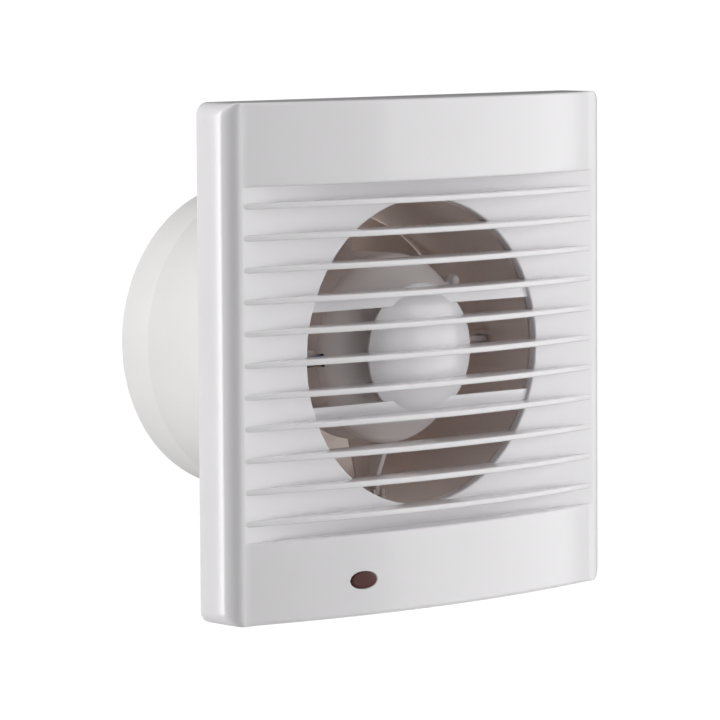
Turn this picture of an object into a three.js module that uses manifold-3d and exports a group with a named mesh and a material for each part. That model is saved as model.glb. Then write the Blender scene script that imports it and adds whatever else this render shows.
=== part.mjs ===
// Bathroom extractor fan for a 100 mm duct: louvred push-on front cover, a moulded housing
// with the duct, a motor pod on three struts, a four-pole motor and an impeller.
//
// Frame: X across, +Y into the wall along the duct, +Z up, millimetres. The origin is on
// the duct axis in the wall plane. "Round" pieces turn about the Y axis.

import * as THREE from "three";
import { mergeVertices } from "three/addons/utils/BufferGeometryUtils.js";
import Module from "manifold-3d";

const wasm = await Module();
wasm.setup();

// ---- Driving dimensions ------------------------------------------------------------
const COVER_WIDTH = 154;
const COVER_HEIGHT = 156;
const COVER_DEPTH = 15.4; // wall plane to the flat front of the cover
const COVER_WALL_GAP = 0.4; // the cover's rear edge stops short of the wall
const COVER_SKIN = 2.2;
const FLOOR_THICKNESS = 2.7; // the recessed floor behind the ribs
const FRONT_BULGE = 8.7; // the bowed front stands this far ahead of the floor
const BULGE_MARGIN = 5.4; // flat strip left on each side of the bow
const SIDE_RADIUS = 5.1;
const CORNER_RADIUS = 4;
const EDGE_ROUND = 0.8;

const RIB_COUNT = 11;
const RIB_PITCH = 9.47;
const RIB_THICKNESS = 1.8;
const RIB_EDGE = 0.5;
const RECESS_MARGIN = 0.6; // recess edge beyond the last rib, in rib pitches
const BAR_RIB_STEP = 2; // the two cross bars lie against the ribs this far from the middle
const UPPER_BAR_HEIGHT = 3.8;
const LOWER_BAR_HEIGHT = 3.5;
const DISC_RADIUS = 21;
const DISC_SETBACK = 1; // the disc's rim and the cross bars lie behind the floor's front
const DISC_RIM_FALL = 0.8; // the rim slopes back by this towards its edge
const DOME_RADIUS = 17;
const DOME_RISE = 3.4;

const DUCT_OUTER_RADIUS = 49.25;
const DUCT_WALL = 2.25;
const DUCT_LENGTH = 73.1; // wall plane to the rear end
const DUCT_STEP = 14; // length of the slimmer lead-in at the rear end
const DUCT_STEP_DROP = 0.35;
const PLATE_THICKNESS = 2.5;
const PLATE_RIM_HEIGHT = 3.5;
const PLATE_RIM_THICKNESS = 1.6;

const POD_RADIUS = 29.5;
const POD_WALL = 1.8;
const POD_FRONT = 1; // Y of the pod's open front rim
const POD_SHOULDER = 16; // Y where the pod begins to taper
const POD_REAR = 22;
const POD_TAPER = 5.5; // the rear end is narrower than the pod by this on each side
const POD_DOME_RISE = 10;
const LUG_RADIUS = 2;
const LUG_BRIDGE_HALF = 1.6;
const LUG_OFFSET = 2.2; // lug centre outside the pod wall
const LUG_ANGLES = [38.5, 218.5]; // degrees from +X towards +Z
const STRUT_ANGLES = [0, 180, 270];
const STRUT_THICKNESS = 1.8;

const STATOR_FRONT = 3; // Y of the stator stack's front face
const STATOR_LENGTH = 12;
const POLE_COUNT = 4;
const ROTOR_RADIUS = 12.9;
const SHAFT_RADIUS = 2;
const MOTOR_SCREW_ANGLES = [45, 225];
const MOTOR_SCREW_INSET = 0.4; // screw circle inside the middle of the yoke
const YOKE_DEPTH = 4.4;

const BLADE_COUNT = 7;
const FIRST_BLADE_ANGLE = 42; // degrees from +X towards +Z
const HUB_RADIUS = 23;
const HUB_FRONT = 24;
const HUB_LENGTH = 20;

const LAMP_X = -31.2;
const LAMP_BAND_SHARE = 0.423; // height in the lower band's hollow, as a share of that hollow
const LAMP_HALF_WIDTH = 4.8;
const LAMP_HALF_HEIGHT = 2.5;

const BLOCK_X = -61; // middle of the terminal block
const BLOCK_Z = 39;
const POLE_PITCH = 9;

// ---- Clearances --------------------------------------------------------------------
const TOUCH = 0.3; // between pieces that rest on or against each other
const SLIDE = 0.5; // between pieces that are pushed together by hand
const RUNNING = 0.15; // between the shaft and what it turns in
const AIR_GAP = 0.5; // rotor to stator
const BLADE_TIP_GAP = 0.9;
const OVERLAP = 0.5; // how far two blanks run into each other before they are joined

// ---- Facets ------------------------------------------------------------------------
const DUCT_SIDES = 48;
const ROUND_SIDES = 28;
const PIN_SIDES = 12;
const SMALL_SIDES = 8;
const BOW_STEPS = 12;
const HUB_SIDES_PER_BLADE = 5;
const CORNER_STEPS = 4;

// ---- Derived places ----------------------------------------------------------------
const HALF_WIDTH = COVER_WIDTH / 2;
const HALF_HEIGHT = COVER_HEIGHT / 2;
const BOW_HALF_WIDTH = HALF_WIDTH - BULGE_MARGIN;
const FLOOR_FRONT = -COVER_DEPTH;
const FLOOR_BACK = FLOOR_FRONT + FLOOR_THICKNESS;
const RECESS_HALF_HEIGHT = ((RIB_COUNT - 1) / 2 + RECESS_MARGIN) * RIB_PITCH;
const DUCT_INNER_RADIUS = DUCT_OUTER_RADIUS - DUCT_WALL;
const DUCT_FRONT = FLOOR_BACK + SLIDE;
const PLATE_HALF_WIDTH = HALF_WIDTH - COVER_SKIN - SLIDE;
const PLATE_HALF_HEIGHT = HALF_HEIGHT - COVER_SKIN - SLIDE;
const STATOR_BACK = STATOR_FRONT + STATOR_LENGTH;
const HUB_BACK = HUB_FRONT + HUB_LENGTH;
const HOLLOW_TOP = -RECESS_HALF_HEIGHT - COVER_SKIN;
const HOLLOW_BOTTOM = -HALF_HEIGHT + COVER_SKIN;
const LAMP_Z = THREE.MathUtils.lerp(HOLLOW_BOTTOM, HOLLOW_TOP, LAMP_BAND_SHARE);
const POD_REAR_RADIUS = POD_RADIUS - POD_TAPER;
const LUG_CENTRE_RADIUS = POD_RADIUS + LUG_OFFSET;
const YOKE_OUTER_RADIUS = POD_RADIUS - POD_WALL - SLIDE;
const YOKE_INNER_RADIUS = YOKE_OUTER_RADIUS - YOKE_DEPTH;
const MOTOR_SCREW_CIRCLE = (YOKE_OUTER_RADIUS + YOKE_INNER_RADIUS) / 2 - MOTOR_SCREW_INSET;

const colours = {
  cover: { color: 0xf1f1f2, roughness: 0.28, metalness: 0 },
  housing: { color: 0xe9e8e6, roughness: 0.4, metalness: 0 },
  pod: { color: 0xe6e4e1, roughness: 0.38, metalness: 0 },
  impeller: { color: 0xdcdad6, roughness: 0.42, metalness: 0 },
  lens: { color: 0x5a1512, roughness: 0.12, metalness: 0 },
  neon: { color: 0xe8d9cf, roughness: 0.08, metalness: 0 },
  block: { color: 0xd9d4c4, roughness: 0.5, metalness: 0 },
  brass: { color: 0xb89450, roughness: 0.35, metalness: 1 },
  screw: { color: 0xb9bcc0, roughness: 0.3, metalness: 1 },
  lamination: { color: 0x6d7074, roughness: 0.55, metalness: 1 },
  copper: { color: 0x9a4f24, roughness: 0.35, metalness: 0.7 },
  aluminium: { color: 0xb4b7ba, roughness: 0.45, metalness: 1 },
  shaft: { color: 0xc8cacc, roughness: 0.2, metalness: 1 },
  bronze: { color: 0x8c6a3c, roughness: 0.5, metalness: 1 },
  rubber: { color: 0x2b2b2c, roughness: 0.85, metalness: 0 },
  brownWire: { color: 0x5b3a26, roughness: 0.5, metalness: 0 },
  blueWire: { color: 0x2c5f9e, roughness: 0.5, metalness: 0 },
};

const fan = new THREE.Group();

// ---- Solids ------------------------------------------------------------------------
function solidOf(geometry) {
  const bare = geometry.clone();
  bare.deleteAttribute("normal");
  bare.deleteAttribute("uv");
  const merged = mergeVertices(bare, 1e-4);
  const mesh = new wasm.Mesh({
    numProp: 3,
    vertProperties: new Float32Array(merged.attributes.position.array),
    triVerts: new Uint32Array(merged.index.array),
  });
  return new wasm.Manifold(mesh);
}

function addPiece(name, solid, look) {
  const mesh = solid.getMesh();
  const geometry = new THREE.BufferGeometry();
  geometry.setAttribute("position", new THREE.BufferAttribute(new Float32Array(mesh.vertProperties), 3));
  geometry.setIndex(new THREE.BufferAttribute(new Uint32Array(mesh.triVerts), 1));
  geometry.computeVertexNormals();
  const piece = new THREE.Mesh(geometry, new THREE.MeshStandardMaterial(look));
  piece.name = name;
  fan.add(piece);
}

function joined(solids) {
  return solids.reduce((sum, solid) => sum.add(solid));
}

// A shape drawn in plan (X across, Y to the wall) and raised from z0 to z1. Its end edges
// are rounded by edge without changing its overall size.
function planPrism(shape, z0, z1, edge = 0) {
  const options = { depth: z1 - z0 - 2 * edge, curveSegments: BOW_STEPS, bevelEnabled: edge > 0 };
  Object.assign(options, { bevelThickness: edge, bevelSize: edge, bevelOffset: -edge, bevelSegments: 1 });
  const geometry = new THREE.ExtrudeGeometry(shape, options);
  geometry.translate(0, 0, z0 + edge);
  return solidOf(geometry);
}

// A shape drawn from the front (X across, Z up) and run from y0 to y1.
function frontPrism(shape, y0, y1, segments = ROUND_SIDES) {
  const geometry = new THREE.ExtrudeGeometry(shape, {
    depth: y1 - y0,
    bevelEnabled: false,
    curveSegments: segments,
  });
  geometry.rotateX(Math.PI / 2);
  geometry.translate(0, y1, 0);
  return solidOf(geometry);
}

function box(x0, x1, y0, y1, z0, z1) {
  const geometry = new THREE.BoxGeometry(x1 - x0, y1 - y0, z1 - z0);
  geometry.translate((x0 + x1) / 2, (y0 + y1) / 2, (z0 + z1) / 2);
  return solidOf(geometry);
}

// A round pin along Y at (x, z).
function pin(x, z, radius, y0, y1, sides = PIN_SIDES) {
  const geometry = new THREE.CylinderGeometry(radius, radius, y1 - y0, sides);
  geometry.translate(x, (y0 + y1) / 2, z);
  return solidOf(geometry);
}

// A round pin along Z at (x, y).
function uprightPin(x, y, radius, z0, z1, sides = SMALL_SIDES) {
  const geometry = new THREE.CylinderGeometry(radius, radius, z1 - z0, sides);
  geometry.rotateX(Math.PI / 2);
  geometry.translate(x, y, (z0 + z1) / 2);
  return solidOf(geometry);
}

// A body turned about the duct axis, from [radius, y] points listed front to back along
// the outside and back to front along the inside.
function turned(profile, sides = ROUND_SIDES) {
  const points = profile.map(([radius, y]) => new THREE.Vector2(radius, y));
  const closed = profile[0][0] === 0 ? points : [...points, points[0]];
  return solidOf(new THREE.LatheGeometry(closed, sides));
}

// A solid built pointing along +X, turned about the duct axis to an angle from +X to +Z.
function aboutDuct(solid, degrees) {
  return solid.rotate([0, -degrees, 0]);
}

function polar(radius, degrees) {
  const angle = THREE.MathUtils.degToRad(degrees);
  return [radius * Math.cos(angle), radius * Math.sin(angle)];
}

function roundedRectangle(halfWidth, halfHeight, radius) {
  const shape = new THREE.Shape();
  shape.absarc(halfWidth - radius, halfHeight - radius, radius, 0, Math.PI / 2);
  shape.absarc(radius - halfWidth, halfHeight - radius, radius, Math.PI / 2, Math.PI);
  shape.absarc(radius - halfWidth, radius - halfHeight, radius, Math.PI, 1.5 * Math.PI);
  shape.absarc(halfWidth - radius, radius - halfHeight, radius, 1.5 * Math.PI, 2 * Math.PI);
  return shape;
}

function ellipse(x, z, halfWidth, halfHeight) {
  const shape = new THREE.Shape();
  shape.absellipse(x, z, halfWidth, halfHeight, 0, 2 * Math.PI);
  return shape;
}

// ---- Front cover -------------------------------------------------------------------
// The bowed front line in plan, set back by inset and running between x = -half and half.
function bowPoints(half, inset) {
  const points = [];
  for (let step = 0; step <= BOW_STEPS; step += 1) {
    const x = -half + (2 * half * step) / BOW_STEPS;
    const rise = FRONT_BULGE * (1 - (x / BOW_HALF_WIDTH) ** 2);
    points.push(new THREE.Vector2(x, FLOOR_FRONT - rise + inset));
  }
  return points;
}

// Plan of the whole cover at floor level: flat front and rounded vertical corners.
function coverPlan(inset) {
  const side = HALF_WIDTH - inset;
  const radius = Math.max(SIDE_RADIUS - inset, 1);
  const front = FLOOR_FRONT + inset;
  const shape = new THREE.Shape();
  shape.moveTo(side, -COVER_WALL_GAP);
  shape.lineTo(-side, -COVER_WALL_GAP);
  for (let step = 0; step <= CORNER_STEPS; step += 1) {
    const angle = Math.PI * (1 + (0.5 * step) / CORNER_STEPS);
    shape.lineTo(-side + radius + radius * Math.cos(angle), front + radius + radius * Math.sin(angle));
  }
  for (let step = 0; step <= CORNER_STEPS; step += 1) {
    const angle = Math.PI * (1.5 + (0.5 * step) / CORNER_STEPS);
    shape.lineTo(side - radius + radius * Math.cos(angle), front + radius + radius * Math.sin(angle));
  }
  return shape;
}

// Plan of a band or a rib: bowed front, flat back at y.
function bowPlan(half, inset, back) {
  const shape = new THREE.Shape(bowPoints(half, inset));
  shape.lineTo(half, back);
  shape.lineTo(-half, back);
  return shape;
}

function frontCover() {
  const recess = RECESS_HALF_HEIGHT;
  const innerTop = HALF_HEIGHT - COVER_SKIN;
  const bandBack = FLOOR_BACK - OVERLAP;
  let outside = planPrism(coverPlan(0), -HALF_HEIGHT, HALF_HEIGHT, EDGE_ROUND);
  let inside = box(
    -(HALF_WIDTH - COVER_SKIN), HALF_WIDTH - COVER_SKIN, FLOOR_BACK, OVERLAP, -innerTop, innerTop,
  );
  for (const side of [-1, 1]) {
    const low = side > 0 ? recess : -HALF_HEIGHT;
    const high = side > 0 ? HALF_HEIGHT : -recess;
    outside = outside.add(planPrism(bowPlan(BOW_HALF_WIDTH, 0, bandBack), low, high, EDGE_ROUND));
    const hollowPlan = bowPlan(BOW_HALF_WIDTH - COVER_SKIN, COVER_SKIN, FLOOR_BACK + OVERLAP);
    const hollowLow = side > 0 ? recess + COVER_SKIN : -innerTop;
    const hollowHigh = side > 0 ? innerTop : -recess - COVER_SKIN;
    inside = inside.add(planPrism(hollowPlan, hollowLow, hollowHigh));
  }
  const face = roundedRectangle(HALF_WIDTH, HALF_HEIGHT, CORNER_RADIUS);
  outside = outside.intersect(frontPrism(face, -COVER_DEPTH - FRONT_BULGE - 1, 1, CORNER_STEPS));
  const opening = pin(0, 0, DUCT_INNER_RADIUS, FLOOR_FRONT - OVERLAP, FLOOR_BACK + OVERLAP, DUCT_SIDES);
  let cover = outside.subtract(inside).subtract(opening);

  for (let rib = 0; rib < RIB_COUNT; rib += 1) {
    const z = (rib - (RIB_COUNT - 1) / 2) * RIB_PITCH;
    const plan = bowPlan(BOW_HALF_WIDTH, 0, bandBack);
    cover = cover.add(planPrism(plan, z - RIB_THICKNESS / 2, z + RIB_THICKNESS / 2, RIB_EDGE));
  }

  const barEnd = DUCT_INNER_RADIUS + OVERLAP;
  const barRibZ = BAR_RIB_STEP * RIB_PITCH - RIB_THICKNESS / 2;
  const upperBar = [barRibZ - UPPER_BAR_HEIGHT, barRibZ + OVERLAP];
  const lowerBar = [-barRibZ - OVERLAP, -barRibZ + LOWER_BAR_HEIGHT];
  for (const [low, high] of [upperBar, lowerBar]) {
    cover = cover.add(box(-barEnd, barEnd, FLOOR_FRONT + DISC_SETBACK, FLOOR_BACK, low, high));
  }
  cover = cover.add(centreDisc());

  const lampHole = frontPrism(
    ellipse(LAMP_X, LAMP_Z, LAMP_HALF_WIDTH + RUNNING, LAMP_HALF_HEIGHT + RUNNING),
    FLOOR_FRONT - FRONT_BULGE, FLOOR_BACK, SMALL_SIDES,
  );
  cover = cover.subtract(lampHole);
  cover = cover.subtract(prySlot());
  return cover.add(coverPegs());
}

// The blank disc in the middle of the louvres: a sloping rim round a shallow dome.
function centreDisc() {
  const rimFront = FLOOR_FRONT + DISC_SETBACK;
  const sphereRadius = (DOME_RADIUS ** 2 + DOME_RISE ** 2) / (2 * DOME_RISE);
  const profile = [[0, rimFront - DOME_RISE]];
  for (let step = 1; step <= CORNER_STEPS + 1; step += 1) {
    const radius = (DOME_RADIUS * step) / (CORNER_STEPS + 1);
    const drop = sphereRadius - Math.sqrt(sphereRadius ** 2 - radius ** 2);
    profile.push([radius, rimFront - DOME_RISE + drop]);
  }
  profile.push([DISC_RADIUS, rimFront + DISC_RIM_FALL], [DISC_RADIUS, FLOOR_BACK], [0, FLOOR_BACK]);
  return turned(profile);
}

// A notch in the lower rear edge, for the screwdriver blade that eases the cover off.
const PRY_SLOT_HALF_WIDTH = 6;
const PRY_SLOT_DEPTH = 1.6;
function prySlot() {
  const x = PRY_SLOT_HALF_WIDTH;
  const z = -HALF_HEIGHT;
  return box(-x, x, -COVER_WALL_GAP - PRY_SLOT_DEPTH, OVERLAP, z - OVERLAP, z + COVER_SKIN + OVERLAP);
}

// Four pegs behind the floor push into sockets on the housing.
const PEG_PLACES = [[-64, 16], [64, 16], [-64, -46], [64, -46]];
const PEG_RADIUS = 2.6;
const PEG_END = -4.5;
const SOCKET_RADIUS = 4.6;
const SOCKET_FRONT = -9;
function coverPegs() {
  return joined(PEG_PLACES.map(([x, z]) => pin(x, z, PEG_RADIUS, FLOOR_BACK - OVERLAP, PEG_END)));
}

// The lens of the running lamp follows the bow of the band that it is set in.
const LENS_PROUD = 0.35;
const LENS_FLANGE = 1.2;
const LENS_BACK = FLOOR_FRONT - 2.6;
const LENS_FLANGE_FRONT = LENS_BACK - 1.2;
function lampLens() {
  const outline = ellipse(LAMP_X, LAMP_Z, LAMP_HALF_WIDTH, LAMP_HALF_HEIGHT);
  const stud = frontPrism(outline, FLOOR_FRONT - FRONT_BULGE, LENS_BACK, SMALL_SIDES);
  const bow = planPrism(bowPlan(BOW_HALF_WIDTH, -LENS_PROUD, 0), -HALF_HEIGHT, 0);
  const flange = frontPrism(
    ellipse(LAMP_X, LAMP_Z, LAMP_HALF_WIDTH + LENS_FLANGE, LAMP_HALF_HEIGHT + LENS_FLANGE),
    LENS_FLANGE_FRONT, LENS_BACK, SMALL_SIDES,
  );
  return stud.intersect(bow).add(flange);
}

// ---- Housing -----------------------------------------------------------------------
const HOLDER_FRONT = FLOOR_FRONT + 1.4;
const HOLDER_HALF_WIDTH = 4.8;
const HOLDER_HALF_HEIGHT = 3;
const WALL_SCREW_X = 66;
const WALL_SCREW_Z = 67;
const WALL_SCREW_HOLE_RADIUS = 2.3;
const WALL_SCREW_BOSS_RADIUS = 5;
const WALL_SCREW_BOSS_HEIGHT = 2;
const CABLE_ENTRY_X = -54;
const CABLE_ENTRY_Z = 65;
const CABLE_ENTRY_RADIUS = 5.2;
const CLAMP_Z = 54.9;
const CLAMP_SCREW_OFFSET = 8;
const CLAMP_POST_FRONT = FLOOR_BACK + 5.8;
const CLAMP_SCREW_END = -PLATE_THICKNESS - 0.4;
const CLAMP_POST_RADIUS = 3.2;
const THREAD_HOLE_RADIUS = 1.6;
const LEAD_HOLE_Y = DUCT_FRONT + 4.2;
const LEAD_HOLE_Z = -1.9;
const LEAD_HOLE_RADIUS = 3.2;

function plateBody() {
  const outline = roundedRectangle(PLATE_HALF_WIDTH, PLATE_HALF_HEIGHT, CORNER_RADIUS - 1);
  const inner = roundedRectangle(
    PLATE_HALF_WIDTH - PLATE_RIM_THICKNESS, PLATE_HALF_HEIGHT - PLATE_RIM_THICKNESS, 1.5,
  );
  const rimFront = -PLATE_THICKNESS - PLATE_RIM_HEIGHT;
  const slab = frontPrism(outline, rimFront, 0, CORNER_STEPS);
  const tray = frontPrism(inner, rimFront - OVERLAP, -PLATE_THICKNESS, CORNER_STEPS);
  const roomX = HOLDER_HALF_WIDTH + SLIDE;
  const roomZ = HOLDER_HALF_HEIGHT + SLIDE;
  const holderRoom = box(
    LAMP_X - roomX, LAMP_X + roomX, rimFront - OVERLAP, -PLATE_THICKNESS, LAMP_Z - roomZ, LAMP_Z + roomZ,
  );
  return slab.subtract(tray).subtract(holderRoom);
}

function ductTube() {
  const rear = DUCT_LENGTH;
  const slim = DUCT_OUTER_RADIUS - DUCT_STEP_DROP;
  return turned([
    [DUCT_OUTER_RADIUS, DUCT_FRONT],
    [DUCT_OUTER_RADIUS, rear - DUCT_STEP],
    [slim, rear - DUCT_STEP + 0.4],
    [slim, rear - 1],
    [slim - 0.8, rear],
    [DUCT_INNER_RADIUS, rear],
    [DUCT_INNER_RADIUS, DUCT_FRONT],
  ], DUCT_SIDES);
}

// The pod is an open-fronted cup that holds the motor.
const POD_REAR_HOLE_RADIUS = 6.5;
function motorPod() {
  const inner = POD_RADIUS - POD_WALL;
  return turned([
    [POD_RADIUS, POD_FRONT],
    [POD_RADIUS, POD_SHOULDER],
    [POD_RADIUS - 1.6, POD_SHOULDER + 3],
    [POD_REAR_RADIUS, POD_REAR],
    [POD_REAR_HOLE_RADIUS, POD_REAR],
    [POD_REAR_HOLE_RADIUS, POD_REAR - POD_WALL],
    [POD_REAR_RADIUS - 0.6, POD_REAR - POD_WALL],
    [inner - 1.4, POD_SHOULDER + 2],
    [inner, POD_SHOULDER],
    [inner, POD_FRONT],
  ]);
}

// A radial web with a slanted front edge, drawn along +X in plan.
const STRUT_ROOT_FRONT = POD_FRONT + 0.2;
const STRUT_KNEE_RADIUS = DUCT_INNER_RADIUS - 7;
const STRUT_KNEE_FRONT = 6;
const STRUT_BACK = 9.5;
function strut() {
  const root = POD_RADIUS - OVERLAP;
  const tip = DUCT_INNER_RADIUS - SLIDE;
  const shape = new THREE.Shape();
  shape.moveTo(root, STRUT_ROOT_FRONT);
  shape.lineTo(STRUT_KNEE_RADIUS, STRUT_KNEE_FRONT);
  shape.lineTo(tip, STRUT_KNEE_FRONT + 0.5);
  shape.lineTo(tip, STRUT_BACK);
  shape.lineTo(root, STRUT_BACK);
  return planPrism(shape, -STRUT_THICKNESS / 2, STRUT_THICKNESS / 2);
}

// The struts' tips slide into short rails on the duct wall and meet a stop.
const RAIL_THICKNESS = 1.2;
const RAIL_HEIGHT = 2.5;
const RAIL_FRONT = STRUT_KNEE_FRONT - 0.4;
const RAIL_BACK = STRUT_BACK + TOUCH + 1.1;
function strutRail() {
  const gap = STRUT_THICKNESS / 2 + TOUCH;
  const inner = DUCT_INNER_RADIUS - RAIL_HEIGHT;
  const outer = DUCT_INNER_RADIUS + OVERLAP;
  const upper = box(inner, outer, RAIL_FRONT, RAIL_BACK, gap, gap + RAIL_THICKNESS);
  const lower = box(inner, outer, RAIL_FRONT, RAIL_BACK, -gap - RAIL_THICKNESS, -gap);
  const stop = box(inner, outer, STRUT_BACK + TOUCH, RAIL_BACK, -gap - OVERLAP, gap + OVERLAP);
  return joined([upper, lower, stop]);
}

const POST_RADIUS = 2.9;
const LUG_DEPTH = 6;
const COVER_SCREW_RADIUS = 0.8;
const COVER_SCREW_LENGTH = 8.9;
function podWithStruts() {
  const lugBack = POD_FRONT + LUG_DEPTH;
  let pod = joined([motorPod(), ...STRUT_ANGLES.map((angle) => aboutDuct(strut(), angle))]);
  for (const angle of LUG_ANGLES) {
    const [x, z] = polar(LUG_CENTRE_RADIUS, angle);
    const reach = [POD_RADIUS - OVERLAP, LUG_CENTRE_RADIUS];
    const bridge = box(...reach, POD_FRONT, lugBack, -LUG_BRIDGE_HALF, LUG_BRIDGE_HALF);
    pod = pod.add(pin(x, z, LUG_RADIUS, POD_FRONT, lugBack)).add(aboutDuct(bridge, angle));
    pod = pod.subtract(pin(x, z, COVER_SCREW_RADIUS + TOUCH, POD_FRONT - OVERLAP, lugBack + OVERLAP));
  }
  for (const angle of MOTOR_SCREW_ANGLES) {
    const [postX, postZ] = polar(MOTOR_SCREW_CIRCLE - 2, angle);
    const [x, z] = polar(MOTOR_SCREW_CIRCLE, angle);
    pod = pod.add(pin(postX, postZ, POST_RADIUS, BRACKET_REAR_BACK + TOUCH, POD_REAR - POD_WALL + OVERLAP));
    pod = pod.subtract(pin(x, z, THREAD_HOLE_RADIUS, STATOR_BACK, POD_REAR - 0.8));
  }
  return pod;
}

function ductHousing() {
  const bossFront = -PLATE_THICKNESS - WALL_SCREW_BOSS_HEIGHT;
  const plateFront = -PLATE_THICKNESS + OVERLAP;
  const bore = pin(0, 0, DUCT_INNER_RADIUS + DUCT_WALL / 2, -PLATE_THICKNESS - OVERLAP, OVERLAP, DUCT_SIDES);
  let housing = plateBody().subtract(bore).add(ductTube());
  for (const angle of STRUT_ANGLES) {
    housing = housing.add(aboutDuct(strutRail(), angle));
  }
  for (const [x, z] of PEG_PLACES) {
    housing = housing.add(pin(x, z, SOCKET_RADIUS, SOCKET_FRONT, plateFront));
    housing = housing.subtract(pin(x, z, PEG_RADIUS + TOUCH, SOCKET_FRONT - OVERLAP, PEG_END + 1));
  }
  for (const x of [-WALL_SCREW_X, WALL_SCREW_X]) {
    for (const z of [-WALL_SCREW_Z, WALL_SCREW_Z]) {
      housing = housing.add(pin(x, z, WALL_SCREW_BOSS_RADIUS, bossFront, plateFront));
      housing = housing.subtract(pin(x, z, WALL_SCREW_HOLE_RADIUS, bossFront - OVERLAP, OVERLAP));
    }
  }
  for (const side of [-1, 1]) {
    const x = BLOCK_X + side * CLAMP_SCREW_OFFSET;
    housing = housing.add(pin(x, CLAMP_Z, CLAMP_POST_RADIUS, CLAMP_POST_FRONT, plateFront));
    housing = housing.subtract(pin(x, CLAMP_Z, THREAD_HOLE_RADIUS, CLAMP_POST_FRONT - OVERLAP, -1));
  }
  const front = -PLATE_THICKNESS - OVERLAP;
  const cableEntry = pin(CABLE_ENTRY_X, CABLE_ENTRY_Z, CABLE_ENTRY_RADIUS, front, OVERLAP);
  const blockScrewHole = pin(BLOCK_X, BLOCK_Z, THREAD_HOLE_RADIUS, front, -0.8);
  return housing.subtract(cableEntry).subtract(blockScrewHole).subtract(leadHole());
}

function leadHole() {
  const length = 2 * DUCT_WALL + 2;
  const geometry = new THREE.CylinderGeometry(LEAD_HOLE_RADIUS, LEAD_HOLE_RADIUS, length, PIN_SIDES);
  geometry.rotateZ(Math.PI / 2);
  geometry.translate(-DUCT_INNER_RADIUS - DUCT_WALL / 2, LEAD_HOLE_Y, LEAD_HOLE_Z);
  return solidOf(geometry);
}

// ---- Motor cover -------------------------------------------------------------------
// A dome closes the pod. Two ears carry the round bosses that its screws enter from the rear,
// and a notch lets the motor leads out.
const POD_COVER_BACK = POD_FRONT - TOUCH;
const EAR_THICKNESS = 2.2;
const BOSS_RADIUS = 1.7;
const BOSS_LENGTH = 3.9;
const BOSS_END_THICKNESS = 1.1;
const NOTCH_REACH = 5;
const NOTCH_DEPTH = 2.3;
const NOTCH_HALF_HEIGHT = 2;
const DOME_STEPS = 6;
function motorCover() {
  const outer = [];
  const inner = [];
  const innerRadius = POD_RADIUS - POD_WALL;
  const innerRise = POD_DOME_RISE - POD_WALL;
  for (let step = 0; step <= DOME_STEPS; step += 1) {
    const angle = (Math.PI / 2) * (step / DOME_STEPS);
    const across = step === 0 ? 0 : Math.sin(angle);
    outer.push([POD_RADIUS * across, POD_COVER_BACK - POD_DOME_RISE * Math.cos(angle)]);
    inner.unshift([innerRadius * across, POD_COVER_BACK - innerRise * Math.cos(angle)]);
  }
  const back = POD_COVER_BACK;
  let dome = turned([...outer, ...inner]);
  for (const angle of LUG_ANGLES) {
    const [x, z] = polar(LUG_CENTRE_RADIUS, angle);
    const front = back - EAR_THICKNESS;
    const reach = [POD_RADIUS - POD_WALL / 2, LUG_CENTRE_RADIUS];
    const bridge = box(...reach, front, back, -LUG_BRIDGE_HALF, LUG_BRIDGE_HALF);
    const ear = pin(x, z, LUG_RADIUS, front, back).add(aboutDuct(bridge, angle));
    const bossFront = back - BOSS_LENGTH;
    dome = dome.add(ear).add(pin(x, z, BOSS_RADIUS, bossFront, back));
    dome = dome.subtract(
      pin(x, z, COVER_SCREW_RADIUS + TOUCH, bossFront + BOSS_END_THICKNESS, back + OVERLAP, SMALL_SIDES),
    );
  }
  const notchHeight = [LEAD_HOLE_Z - NOTCH_HALF_HEIGHT, LEAD_HOLE_Z + NOTCH_HALF_HEIGHT];
  const notch = box(
    -POD_RADIUS - 1, -POD_RADIUS + NOTCH_REACH, back - NOTCH_DEPTH, back + OVERLAP, ...notchHeight,
  );
  return dome.subtract(notch);
}

// A pan-head screw driven towards the wall at [x, z], its head seated at y. The shank and
// the head are each given as [radius, length]. The head has a cross slot.
function panScrew([x, z], y, [shankRadius, length], [headRadius, headHeight]) {
  const head = pin(x, z, headRadius, y - headHeight, y + 0.01);
  const shank = pin(x, z, shankRadius, y - 0.2, y + length, SMALL_SIDES);
  const slot = headRadius * 0.7;
  const half = headRadius * 0.14;
  const front = y - headHeight - OVERLAP;
  const floor = y - headHeight * 0.45;
  const cross = box(x - slot, x + slot, front, floor, z - half, z + half)
    .add(box(x - half, x + half, front, floor, z - slot, z + slot));
  return head.add(shank).subtract(cross);
}

// ---- Motor -------------------------------------------------------------------------
const POLE_HALF_WIDTH = 4;
const SHOE_THICKNESS = 1.5;
const SHOE_HALF_WIDTH = 8.2;
const COIL_FRONT_OVERHANG = 3.5;
const COIL_HALF_WIDTH = 7.8;
const COIL_LENGTH = 5.6;
const COIL_INNER_RADIUS = ROTOR_RADIUS + AIR_GAP + SHOE_THICKNESS + TOUCH;
const MOTOR_SCREW_RADIUS = 1.25;

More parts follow.
